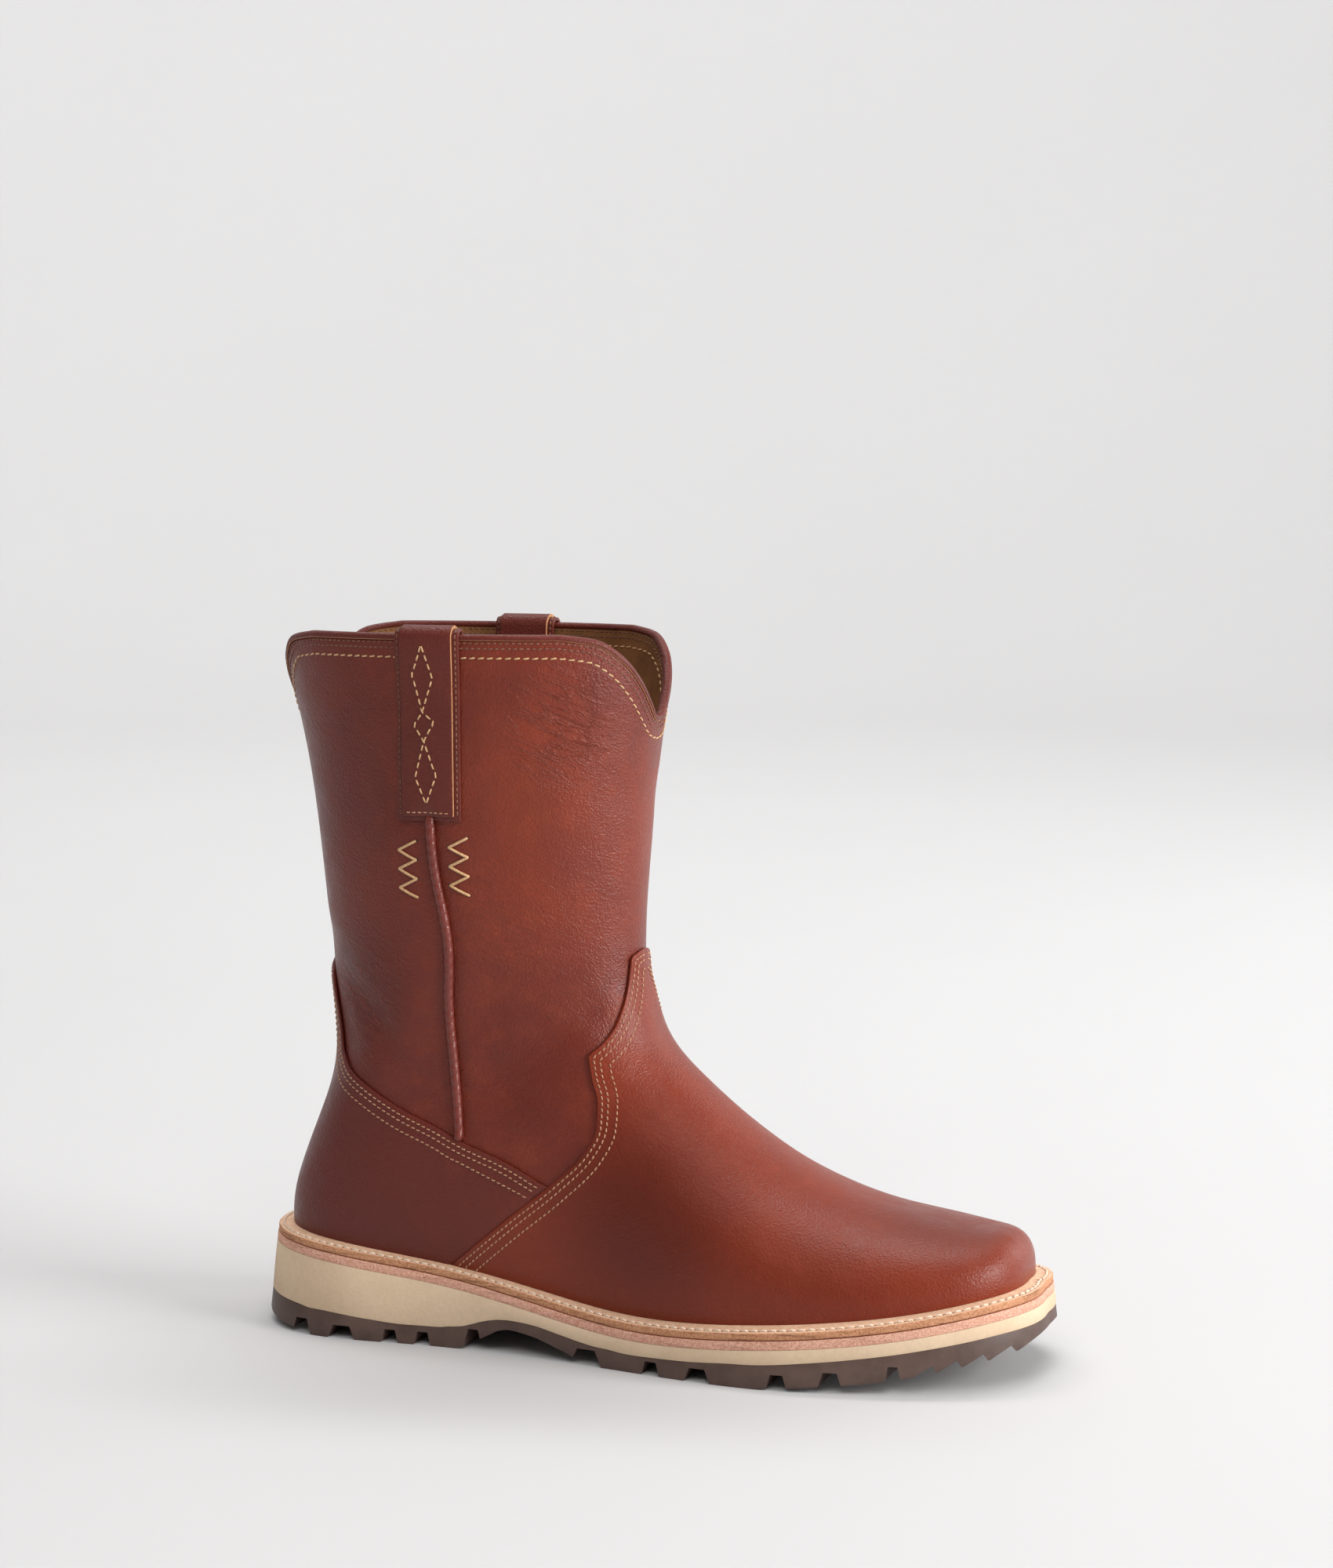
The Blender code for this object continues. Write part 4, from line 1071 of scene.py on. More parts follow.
SHAFT_SPOTS = [
    # place, radius, wrinkles, warmth, painted shade
    ((0.092, -0.044, 0.240), 0.034, 0.8, 0.15, 0.0),
    ((0.080, -0.050, 0.215), 0.060, 0.0, 0.45, 0.0),
    ((0.066, -0.052, 0.165), 0.050, 0.30, 0.20, 0.0),
    ((0.000, -0.040, 0.135), 0.040, 0.5, 0.0, 0.6),
    ((0.080, -0.048, 0.110), 0.045, 0.0, 0.0, 0.5),
]
VAMP_SPOTS = [
    # place, radius, wrinkles, warmth, painted shade
    ((0.125, -0.048, 0.058), 0.070, 0.0, 0.0, 1.0),
    ((0.190, -0.050, 0.035), 0.050, 0.0, 0.0, 0.45),
    ((0.235, -0.010, 0.070), 0.055, 0.0, 0.0, 0.7),
]


def fibrous(name, dark, light, roughness, scale, streaks, strength):
    """Raw leather edge: fibres in two tones with darker streaks along it, matt."""
    material, tree, shader, where = start_material(name, roughness, Specular_IOR_Level=0.25)
    specks = noise(tree, where, scale, 6.0, 0.7, 0.2)
    patches = noise(tree, where, 42.0, 3.0, 0.5)
    runs_along = noise(tree, where, 260.0, 4.0, 0.6, 0.4, (0.16, 0.16, 3.2))
    share = remap(tree, specks, 0.36, 0.64)
    colour = mix(tree, share, dark, light)
    colour = mix(tree, remap(tree, patches, 0.35, 0.7, 0.0, 0.30), colour, light)
    deep = tuple(c * 0.42 for c in dark)
    colour = mix(tree, remap(tree, runs_along, 0.52, 0.70, 0.0, streaks), colour, deep)
    dress(tree, shader, colour, [(runs_along, strength * 0.5, 0.0005), (specks, strength, 0.0004)])
    return material


def foam():
    """Cream foam with a fine cast skin."""
    material, tree, shader, where = start_material("cream_foam", 0.72, Specular_IOR_Level=0.3)
    soft = noise(tree, where, 30.0, 3.0, 0.5)
    cast = noise(tree, where, 520.0, 4.0, 0.6)
    colour = mix(tree, remap(tree, soft, 0.3, 0.7), (0.620, 0.455, 0.305), (0.700, 0.530, 0.365))
    colour = mix(tree, remap(tree, cast, 0.3, 0.7, 0.0, 0.18), colour, (0.46, 0.35, 0.22))
    dress(tree, shader, colour, [(cast, 0.35, 0.0004), (cells(tree, where, 800.0), 0.15, 0.0002)])
    return material


def rubber():
    """Brown moulded rubber, matt, with a faint bloom."""
    material, tree, shader, where = start_material("brown_rubber", 0.52, Specular_IOR_Level=0.4)
    bloom = noise(tree, where, 70.0, 5.0, 0.6)
    grit = noise(tree, where, 1100.0, 3.0, 0.6)
    colour = mix(tree, remap(tree, bloom, 0.3, 0.75), (0.070, 0.040, 0.031), (0.118, 0.072, 0.058))
    dress(tree, shader, colour, [(grit, 0.25, 0.0002)])
    tree.links.new(remap(tree, bloom, 0.3, 0.7, 0.46, 0.62), shader.inputs["Roughness"])
    return material


def thread(name, dark, light):
    """Waxed thread: two tones of its twist."""
    material, tree, shader, where = start_material(name, 0.6, Sheen_Weight=0.2, Specular_IOR_Level=0.3)
    twist = noise(tree, where, 2200.0, 2.0, 0.5, 0.0, (1.0, 1.0, 0.4))
    dress(tree, shader, mix(tree, remap(tree, twist, 0.35, 0.65), dark, light), [(twist, 0.4, 0.0002)])
    return material


def plain(name, colour, roughness, other=None):
    """Matt stuff with a slight variation of its colour."""
    material, tree, shader, where = start_material(name, roughness, Specular_IOR_Level=0.3)
    soft = noise(tree, where, 120.0, 4.0, 0.6)
    second = other or tuple(c * 0.8 for c in colour)
    colour = mix(tree, remap(tree, soft, 0.3, 0.7), second, colour)
    dress(tree, shader, colour, [(noise(tree, where, 900.0), 0.3, 0.0002)])
    return material


LEATHERS = [
    # name, dark, middle and light tone, roughness, coat, grain, spots
    ("shaft", (0.11, 0.018, 0.013), (0.205, 0.03, 0.0125), (0.28, 0.046, 0.017), 0.35, 0.14, 1, SHAFT_SPOTS),
    ("vamp", (0.165, 0.023, 0.01), (0.215, 0.03, 0.0105), (0.27, 0.043, 0.015), 0.35, 0.1, 0.8, VAMP_SPOTS),
    ("counter", (0.110, 0.018, 0.013), (0.150, 0.024, 0.013), (0.185, 0.031, 0.016), 0.40, 0.10, 1.0, ()),
    ("trim", (0.100, 0.018, 0.013), (0.140, 0.023, 0.014), (0.190, 0.033, 0.018), 0.40, 0.08, 1.0, ()),
    ("piping", (0.130, 0.024, 0.018), (0.190, 0.036, 0.024), (0.250, 0.052, 0.034), 0.28, 0.30, 0.5, ()),
]
EDGES = [
    # name, dark and light tone, roughness, scale, streaks, strength
    ("raw_edge", (0.36, 0.15, 0.065), (0.62, 0.33, 0.16), 0.7, 1400.0, 0.4, 0.6),
    ("welt_top", (0.64, 0.38, 0.24), (0.78, 0.51, 0.34), 0.62, 500.0, 0.10, 0.2),
    ("welt_edge", (0.34, 0.130, 0.055), (0.66, 0.34, 0.19), 0.75, 1400.0, 0.75, 0.6),
    ("midsole_edge", (0.50, 0.215, 0.135), (0.78, 0.46, 0.34), 0.75, 1400.0, 0.30, 0.6),
]
THREADS = [
    # name, dark and light tone
    ("peach_thread", (0.34, 0.165, 0.085), (0.54, 0.30, 0.175)),
    ("tan_thread", (0.50, 0.29, 0.13), (0.72, 0.46, 0.24)),
    ("brown_thread", (0.13, 0.050, 0.030), (0.26, 0.115, 0.065)),
    ("pale_thread", (0.66, 0.48, 0.34), (0.86, 0.71, 0.56)),
]
MATERIALS = {
    "lining": plain("lining_leather", (0.235, 0.098, 0.034), 0.62, (0.170, 0.068, 0.024)),
    "foam": foam(),
    "rubber": rubber(),
    # Needle holes: painted shade, near-black
    "needle_hole_shade": plain("needle_hole_shade", (0.030, 0.012, 0.010), 0.8),
    "insole": plain("insole_leather", (0.40, 0.22, 0.09), 0.7),
}
MATERIALS.update((name, leather(name + "_leather", *rest)) for name, *rest in LEATHERS)
MATERIALS.update((name, fibrous(name, *rest)) for name, *rest in EDGES)
MATERIALS.update((name, thread(name, *rest)) for name, *rest in THREADS)


def leaf_name(side):
    """Which side of the foot, in words."""
    return "outer" if side < 0 else "inner"


def turned_edge(turn):
    """t at which the leather ends under the binding, TURNED_EDGE above the collar's line."""
    line_turn = np.linspace(-math.pi, math.pi, RIM_POINTS + 1)[:-1]
    line_t, near = beside(collar_end(line_turn), line_turn, TURNED_EDGE, True)
    order = np.argsort(near)
    return np.interp(turn, near[order], line_t[order], period=2 * math.pi)


def make_upper():
    """The upper's leather, from the toe to the collar, and its lining."""
    for name, foot_count, leg_count, columns, lift, thick, material in (
        ("upper_leather", *UPPER_ROWS, UPPER_COLUMNS, 0.0, SKIN, "shaft"),
        ("shaft_lining", *LINING_ROWS, LINING_COLUMNS, -SKIN, WALL - SKIN, "lining"),
    ):
        across = np.linspace(-1, 1, 2 * columns + 1)
        foot = foot_rows(foot_count)
        foot_turn = edge_turn(foot, CLEARANCE)
        foot_turn[-1] = math.pi
        t_foot = np.repeat(foot[:, None], len(across), axis=1)
        turn_foot = foot_turn[:, None] * across
        rise = np.linspace(0, 1, leg_count + 1)[1:, None]
        turn_leg = np.repeat(math.pi * across[None, :], leg_count, axis=0)
        t_leg = foot[-1] + (turned_edge(turn_leg[0]) - foot[-1]) * rise
        t = np.vstack([t_foot, t_leg])
        turn = np.vstack([turn_foot, turn_leg])
        points, _ = skin(t, turn, lift)
        points[0] = points[0].mean(axis=0)
        faces = grid_faces(*t.shape)
        thing = piece(name, points, faces, (MATERIALS[material],), "upper_leather", ("upper",))
        weld(thing)
        solidify(thing, thick, -1)


def weld(thing, distance=0.00002):
    """Join doubled points of a mesh."""
    shape = bmesh.new()
    shape.from_mesh(thing.data)
    bmesh.ops.remove_doubles(shape, verts=shape.verts, dist=distance)
    shape.to_mesh(thing.data)
    shape.free()


def vamp_measure():
    """t from the toe to above the vamp's top, and how far each has come along the foot."""
    t = np.linspace(foot_start(CLEARANCE), KNOTS[len(FOOT_OVALS) + 2], FINE_ROWS)
    ridge = np.linalg.norm(np.diff(surface(t, np.zeros(len(t))), axis=0), axis=1)
    line = surface(t, -edge_turn(t, CLEARANCE))
    side = np.linalg.norm(np.diff(line, axis=0), axis=1)
    steps = 0.5 * (ridge + side)
    first = np.exp(-np.arange(len(steps)) / TIP_ROWS) * TIP_LENGTH
    return t, np.concatenate([[0.0], np.cumsum(steps + first)])


OVERLAY_TOP = CLEARANCE + OVERLAY


def edge_lift(far):
    """Height of an overlay's face near its edge: it rounds down over the first half mm."""
    return OVERLAY_TOP - EDGE_ROUND * np.exp(-((far / EDGE_ROUND) ** 2))


def make_vamp():
    """The vamp: rows run from its edge forward to the toe."""
    fine_t, measure = vamp_measure()
    line = runs(VAMP_EDGE, THROAT_HEIGHT, EDGE_POINTS)
    t, turn = place(line[:, 0], line[:, 1], 1.0)
    share = turn / edge_turn(t, CLEARANCE)
    first = int(np.argmax(share > 0.004))
    last = int(np.argmax(share > 0.9995)) or len(share)
    t, turn, share = t[first:last], turn[first:last], share[first:last]
    far = lengths_of(surface(t, turn))
    at = np.linspace(0, far[-1], VAMP_COLUMNS + 1)
    half_share = np.interp(at, far, share)
    half_share[0] = 0.0
    half_share[-1] = 1.0
    half_t = np.interp(half_share, share, t)
    shares = np.concatenate([-half_share[:0:-1], half_share])
    edge_t = np.concatenate([half_t[:0:-1], half_t])
    from_edge = np.interp(edge_t, fine_t, measure)
    near = np.repeat(np.array(VAMP_NEAR)[:, None], len(shares), axis=1)
    rest = np.linspace(VAMP_FAR, 1.0, VAMP_ROWS - len(near))[:, None]
    distance = np.vstack([near, rest * (from_edge[None, :] - VAMP_FAR) + VAMP_FAR * (1 - rest)])
    distance[-1] = from_edge
    rows_t = np.interp(from_edge[None, :] - distance, measure, fine_t)
    rows_turn = edge_turn(rows_t.ravel(), CLEARANCE).reshape(rows_t.shape) * shares
    points, _ = skin(rows_t, rows_turn, edge_lift(distance))
    points[-1] = points[-1].mean(axis=0)
    faces = [face[::-1] for face in grid_faces(*rows_t.shape)]
    thing = piece("vamp_leather", points, faces, (MATERIALS["vamp"],), "vamp_leather", ("vamp",))
    weld(thing)
    solidify(thing, OVERLAY, -1)


def make_counter():
    """The heel counter: a patch between the feather, the vamp's edge, its own top edge and
    the line up the back."""
    edge = runs(VAMP_EDGE, THROAT_HEIGHT, EDGE_POINTS)
    top = runs(COUNTER_EDGE, THROAT_HEIGHT, COUNTER_POINTS)
    corner = top[-1]
    low = edge[(edge[:, 1] < corner[1]) & (edge[:, 0] < corner[0] + 0.01)]
    low = np.vstack([corner, low]) + (COUNTER_OVERLAP, 0.0)
    top = np.vstack([top, low[:1]])
    top_t, top_turn = place(top[:, 0], top[:, 1], 1.0)
    start = int(np.argmax(top_turn < math.pi - 0.01)) - 1
    top_t, top_turn = top_t[start:], top_turn[start:]
    top_turn[0] = math.pi
    side_t, side_turn = place(low[:, 0], low[:, 1], 1.0)
    inside = side_turn < edge_turn(side_t, CLEARANCE)
    side_t, side_turn = side_t[inside], side_turn[inside]
    foot_t = np.linspace(foot_end(CLEARANCE), side_t[-1], FOOT_POINTS)
    foot_turn = edge_turn(foot_t, CLEARANCE)
    foot_turn[0] = math.pi
    side_turn[-1] = foot_turn[-1]
    back_t = np.linspace(foot_t[0], top_t[0], BACK_POINTS)
    back_turn = np.full(BACK_POINTS, math.pi)
    u = np.linspace(0, 1, COUNTER_COLUMNS + 1)
    close = np.array(COUNTER_CLOSE)
    v = np.concatenate([np.linspace(0, 0.93, COUNTER_ROWS - len(close)), 1 - close[::-1]])
    bottom = np.stack(even_line(foot_t, foot_turn, COUNTER_COLUMNS), -1)
    upper = np.stack(even_line(top_t, top_turn, COUNTER_COLUMNS), -1)

    def by_share(t, turn, at):
        far = lengths_of(surface(t, turn))
        return np.stack([np.interp(at * far[-1], far, t), np.interp(at * far[-1], far, turn)], -1)

    left = by_share(back_t, back_turn, v)
    right = by_share(side_t[::-1], side_turn[::-1], v)
    us, vs = u[None, :, None], v[:, None, None]
    patch = (1 - vs) * bottom[None] + vs * upper[None] + (1 - us) * left[:, None] + us * right[:, None]
    patch -= (1 - us) * (1 - vs) * bottom[0] + (1 - us) * vs * upper[0]
    patch -= us * (1 - vs) * bottom[-1] + us * vs * upper[-1]
    t = np.concatenate([patch[:, :0:-1, 0], patch[:, :, 0]], axis=1)
    turn = np.concatenate([-patch[:, :0:-1, 1], patch[:, :, 1]], axis=1)
    from_top = (1 - v)[:, None] * COUNTER_REACH
    near_side = (np.abs(np.linspace(-1, 1, t.shape[1])) - UNDER_FROM) / UNDER_FADE
    under = np.clip(near_side, 0, 1)[None, :]
    points, _ = skin(t, turn, edge_lift(from_top) - under * COUNTER_UNDER)
    points[:, t.shape[1] // 2, 1] = 0.0
    faces = [face[::-1] for face in grid_faces(*t.shape)]
    materials = (MATERIALS["counter"],)
    thing = piece("counter_leather", points, faces, materials, "counter_leather", ("heel_counter",))
    solidify(thing, OVERLAY, -1)


def skin_on_side(x, z, side, lift):
    """Points lift off the leather at x and z in side view, and the normals there."""
    t, turn = place(x, z, side)
    return skin(t, turn, lift)


def collar_ring(count):
    """Rim of the collar at its wall's middle, with the ways out and up, point by point."""
    turn = np.linspace(-math.pi, math.pi, count + 1)[:-1]
    t = collar_end(turn)
    face, out = skin(t, turn, 0.0)
    rim = face - out * WALL / 2
    before = rim - np.roll(rim, 1, axis=0)
    after = np.roll(rim, -1, axis=0) - rim
    first = unit(np.cross(out, before))
    second = unit(np.cross(out, after))
    up = (first + second) / (1 + (first * second).sum(axis=1, keepdims=True))
    return rim, out, up


BINDING_SECTION = [
    # out, up in millimetres, and whether the side that starts there is raw edge
    (1.00, 1.55, 0),
    (1.50, 1.55, 1),
    (1.62, 1.72, 0),
    (1.80, 1.95, 0),
    (1.84, 2.35, 0),
    (1.74, 2.85, 0),
    (1.45, 3.32, 0),
    (1.00, 3.66, 0),
    (0.50, 3.82, 0),
    (0.00, 3.87, 0),
    (-0.50, 3.82, 0),
    (-1.00, 3.66, 0),
    (-1.45, 3.32, 0),
    (-1.74, 2.85, 0),
    (-1.84, 2.35, 0),
    (-1.80, 1.95, 0),
    (-1.50, 1.55, 0),
    (-1.00, 1.55, 0),
]


def make_binding():
    """The binding rolled over the collar, with the cut edge of its strip along its foot."""
    rim, out, up = collar_ring(BINDING_POINTS)
    section_rows = np.array(BINDING_SECTION)
    points = rim[:, None] + (
        out[:, None] * section_rows[None, :, :1] + up[:, None] * section_rows[None, :, 1:2]
    ) * 0.001
    count, around = points.shape[:2]
    faces = []
    index = []
    for i in range(count):
        after = (i + 1) % count
        for j in range(around):
            k = (j + 1) % around
            faces.append((i * around + j, after * around + j, after * around + k, i * around + k))
            index.append(int(section_rows[j, 2]))
    thing = piece(
        "collar_binding_roll",
        points,
        faces,
        (MATERIALS["trim"], MATERIALS["raw_edge"]),
        "binding_leather",
        ("collar_binding",),
    )
    thing.data.polygons.foreach_set("material_index", np.array(index, dtype=np.int32))
    sharp(thing, 50)


def collar_row(distance, inside):
    """Line at a distance under the collar's rim, on the outer face or on the lining."""
    turn = np.linspace(-math.pi, math.pi, RIM_POINTS + 1)[:-1]
    t = collar_end(turn)
    t, turn = beside(t, turn, -distance, True)
    lift = -WALL if inside else 0.0
    line, out = skin(t, turn, lift)
    return line, (-out if inside else out)


def strap_middle(z):
    """X of the middle of a pull strap at a height: the strap leans with the leg."""
    heights = (STRAP_FOOT * SHAFT_HEIGHT, SHAFT_HEIGHT)
    return np.interp(z, heights, along(np.array(STRAP_ALONG)))


def strap_lift(z):
    """How far a strap's underside lies off the leather: it swells out to pass the binding."""
    near_top = np.clip((z - SHAFT_HEIGHT) / STRAP_SWELL + 1, 0, 1)
    low = STRAP_LIFT - STRAP_SINK
    return low + (STRAP_RING - WALL / 2 - low) * near_top**2


def strap_sheet(side, offsets, extra, low, rows=46, arc=18, tail_rows=12):
    """Rows of points and normals of a pull strap at offsets across it: up the outside, over
    the collar and down the inside. extra is how far it lies off the base strap's underside."""
    spread = np.asarray(offsets, float) * -side
    lines = []
    normals = []
    for z in np.linspace(low, SHAFT_HEIGHT - STRAP_RING, rows):
        line, out = skin_on_side(strap_middle(z) + spread, z, side, strap_lift(z) + extra)
        lines.append(line)
        normals.append(out)
    x = strap_middle(SHAFT_HEIGHT) + spread
    face, out = skin_on_side(x, SHAFT_HEIGHT, side, 0.0)
    rim = face - out * WALL / 2
    rim[:, 2] += CLEARANCE + BINDING_RADIUS
    flat = unit(out * (1, 1, 0))
    for angle in np.linspace(0, math.pi, arc + 1):
        reach = flat * math.cos(angle) + np.array([0, 0, math.sin(angle)])
        lines.append(rim + reach * (STRAP_RING + extra))
        normals.append(reach)
    for z in np.linspace(SHAFT_HEIGHT - STRAP_RING, STRAP_TAIL * SHAFT_HEIGHT, tail_rows):
        line, out = skin_on_side(strap_middle(z) + spread, z, side, -WALL / 2 - STRAP_RING - extra)
        lines.append(line)
        normals.append(-out)
    return np.array(lines), np.array(normals)


# Chain of diamonds on the outer strap's facing: across it and up, in millimetres
CHAIN_LEFT = [
    (-1.3, 270.1),
    (-5.2, 258.8),
    (-1.5, 244.9),
    (3.0, 241.1),
    (-1.0, 233.7),
    (-4.6, 220.1),
    (-0.3, 210.0),
]
CHAIN_RIGHT = [
    (-1.3, 270.1),
    (2.8, 257.6),
    (-1.5, 244.9),
    (-4.7, 239.6),
    (-1.0, 233.7),
    (3.7, 220.7),
    (-0.3, 210.0),
]
ZIGZAGS = [
    # x and z of the zigzag's first corner and of its last, and how many corners it has
    ((0.0331, 0.1953), (0.0258, 0.1736), 7),
    ((0.0537, 0.1970), (0.0463, 0.1750), 7),
]


def make_straps():
    """Pull straps: a base with raw edges, and a narrower facing sewn on it."""
    low = STRAP_FOOT * SHAFT_HEIGHT
    for side in (-1, 1):
        where = leaf_name(side)
        for name, width, extra, start, rim in (
            ("pull_strap_", STRAP_WIDTH, 0.0, low, "trim"),
            ("pull_strap_facing_", FACING_WIDTH, STRAP, low + FACING_RISE, "raw_edge"),
        ):
            offsets = np.linspace(-0.5, 0.5, STRAP_COLUMNS) * width
            points, _ = strap_sheet(side, offsets, extra, start)
            strap = piece(
                name + "leather_" + where,
                points,
                grid_faces(*points.shape[:2]),
                (MATERIALS["trim"], MATERIALS[rim]),
                "strap_leather",
                (name + where,),
            )
            solidify(strap, STRAP, 1, 1)
            worn_edge(strap, STRAP_WORN)


def strap_line(side, path, extra):
    """Line over a strap's face from (offset, z) places, and its normals."""
    spots = np.array(path, float)
    far = lengths_of(spots)
    at = np.linspace(0, far[-1], 60 * len(path))
    offset = np.interp(at, far, spots[:, 0])
    z = np.interp(at, far, spots[:, 1])
    return skin_on_side(strap_middle(z) + offset * -side, z, side, strap_lift(z) + extra)


def make_strap_stitches():
    """Rows along the straps' edges and across the facings' feet, and the chain of diamonds."""
    low = STRAP_FOOT * SHAFT_HEIGHT
    lines = []
    margin = (STRAP_WIDTH + FACING_WIDTH) / 4
    for side in (-1, 1):
        for offset in (-margin, margin):
            points, out = strap_sheet(side, [offset], STRAP, low + FACING_RISE)
            lines.append((points[:, 0], out[:, 0]))
    stitches("strap_stitches", lines, FINE_STITCH, MATERIALS["brown_thread"], "strap_leather", 0.0)
    reach = FACING_WIDTH / 2 - FACING_MARGIN
    height = low + FACING_RISE + FOOT_ROW_RISE
    across = [(-reach, height), (reach, height)]
    feet = [strap_line(side, across, 2 * STRAP) for side in (-1, 1)]
    stitches("strap_foot_stitches", feet, FINE_STITCH, MATERIALS["peach_thread"], "strap_leather", 0.0)
    chain = []
    for side in (-1, 1):
        for path in (CHAIN_LEFT, CHAIN_RIGHT):
            spots = [(a * 0.001 * -side, z * 0.001) for a, z in path]
            chain.append(strap_line(side, spots, 2 * STRAP))
    stitches("strap_diamonds", chain, BOLD_STITCH, MATERIALS["tan_thread"], "strap_leather", 0.0)


def swept(line, out, radius, sides=12):
    """Points and faces of a round cord along a line, with rounded ends."""
    ahead = unit(np.gradient(line, axis=0))
    up = unit(out - ahead * (out * ahead).sum(axis=1, keepdims=True))
    aside = np.cross(up, ahead)
    angle = np.arange(sides) * 2 * math.pi / sides
    last = len(line) - 1
    leans = [k * math.pi / 7 for k in (1, 2, 3)]
    hubs = [(line[0] - ahead[0] * radius * math.sin(a), 0, math.cos(a)) for a in reversed(leans)]
    hubs += [(line[i], i, 1.0) for i in range(len(line))]
    hubs += [(line[-1] + ahead[-1] * radius * math.sin(a), last, math.cos(a)) for a in leans]
    points = []
    for hub, i, size in hubs:
        spoke = aside[i] * np.cos(angle)[:, None] + up[i] * np.sin(angle)[:, None]
        points.append(hub + spoke * radius * size)
    faces = grid_faces(len(points), sides, True)
    faces.append(tuple(reversed(range(sides))))
    start = (len(points) - 1) * sides
    faces.append(tuple(start + s for s in range(sides)))
    return np.array(points).reshape(-1, 3), faces


def make_piping():
    """Piping in the side seams."""
    for side in (-1, 1):
        lift = PIPING_RADIUS - PIPING_SINK
        line, out = skin_on_side(SEAM_POINTS[:, 0], SEAM_POINTS[:, 1], side, lift)
        where = leaf_name(side)
        piece(
            "side_piping_cord_" + where,
            *swept(line, out, PIPING_RADIUS),
            (MATERIALS["piping"],),
            "binding_leather",
            ("side_piping_" + where,),
        )


def zigzag_corners(start, stop, count):
    """Places of a zigzag's corners in side view."""
    return [
        (start[0] if k % 2 == 0 else stop[0], start[1] + (stop[1] - start[1]) * k / (count - 1))
        for k in range(count)
    ]


def make_zigzags():
    """Zigzag threads beside each seam's head, and the needle holes at their corners, painted near-black as
    shade.
    """
    points = []
    faces = []
    holes = []
    for side in (-1, 1):
        for zigzag in ZIGZAGS:
            corners = zigzag_corners(*zigzag)
            for first, second in zip(corners[:-1], corners[1:]):
                share = np.linspace(ZIG_END, 1 - ZIG_END, ZIG_POINTS)
                x = first[0] + (second[0] - first[0]) * share
                z = first[1] + (second[1] - first[1]) * share
                sag = np.sin(share * math.pi) ** 0.5 * ZIG_SAG
                line, out = skin_on_side(x, z, side, sag)
                thread_points, thread_faces = swept(line, out, ZIG_STITCH_RADIUS, ZIG_SIDES)
                start = len(points)
                points += list(thread_points)
                faces += [tuple(v + start for v in face) for face in thread_faces]
            holes += [skin_on_side(np.array([x]), np.array([z]), side, HOLE_LIFT) for x, z in corners]
    piece("side_zigzags", points, faces, (MATERIALS["tan_thread"],), "binding_leather")
    points = []
    faces = []
    for place_at, out in holes:
        middle, away = place_at[0], out[0]
        ahead = unit(np.cross(away, (0, 0, 1.0)))
        aside = np.cross(away, ahead)
        start = len(points)
        points.append(middle + away * HOLE_RISE)
        for s in range(HOLE_RING):
            angle = s * 2 * math.pi / HOLE_RING
            spoke = ahead * math.cos(angle) + aside * math.sin(angle)
            points.append(middle + spoke * ZIG_HOLE_RADIUS - away * HOLE_SINK)
            faces.append((start, start + 1 + (s + 1) % HOLE_RING, start + 1 + s))
    piece("side_zigzag_holes", points, faces, (MATERIALS["needle_hole_shade"],), "binding_leather")


def to_the_back(t, turn):
    """A line on one side carried on level to the middle of the heel."""
    if abs(turn[0]) > abs(turn[-1]):
        t, turn = t[::-1], turn[::-1]
    rest = np.linspace(turn[-1], np.sign(turn[-1]) * (math.pi - BACK_SEAM), 9)[1:]
    return np.append(t, np.full(len(rest), t[-1])), np.append(turn, rest)


def overlay_rows(table, side, distance, where):
    """Stitch line beside an overlay's edge, as points and normals on the overlay's face."""
    t, turn = row_beside(table, side, distance)
    keep = where(t, turn)
    t, turn = t[keep], turn[keep]
    if table is COUNTER_EDGE:
        t, turn = to_the_back(t, turn)
    return skin(t, turn, OVERLAY_TOP)


def make_overlay_stitches():
    """Three rows inside the edges of the vamp and of the counter."""

    def on_vamp(t, turn):
        return np.abs(turn) < edge_turn(t, CLEARANCE) - 0.05

    def on_counter(t, turn):
        point = surface(t, turn)
        front = np.array(VAMP_EDGE[-1])
        edge_x = np.interp(point[:, 2] / THROAT_HEIGHT, front[::-1, 1], front[::-1, 0])
        return (point[:, 0] < along(edge_x) - 0.002) & (np.abs(turn) < math.pi - 0.03)

    fine = []
    for side in (-1, 1):
        for distance in OVERLAY_ROWS:
            fine.append(overlay_rows(VAMP_EDGE, side, -distance, on_vamp))
            fine.append(overlay_rows(COUNTER_EDGE, side, distance, on_counter))
    stitches("overlay_stitches", fine, FINE_STITCH, MATERIALS["peach_thread"], "vamp_leather")


def make_collar_stitches():
    """Two fine rows and a bold one under the collar, on both faces."""
    for name, distances, size, thread_name in (
        ("collar_stitches", COLLAR_ROWS, FINE_STITCH, "brown_thread"),
        ("collar_bold_stitches", (COLLAR_BOLD_ROW,), BOLD_STITCH, "tan_thread"),
    ):
        rows = [collar_row(distance, inside) for inside in (False, True) for distance in distances]
        stitches(name, rows, size, MATERIALS[thread_name], "upper_leather", closed=True)


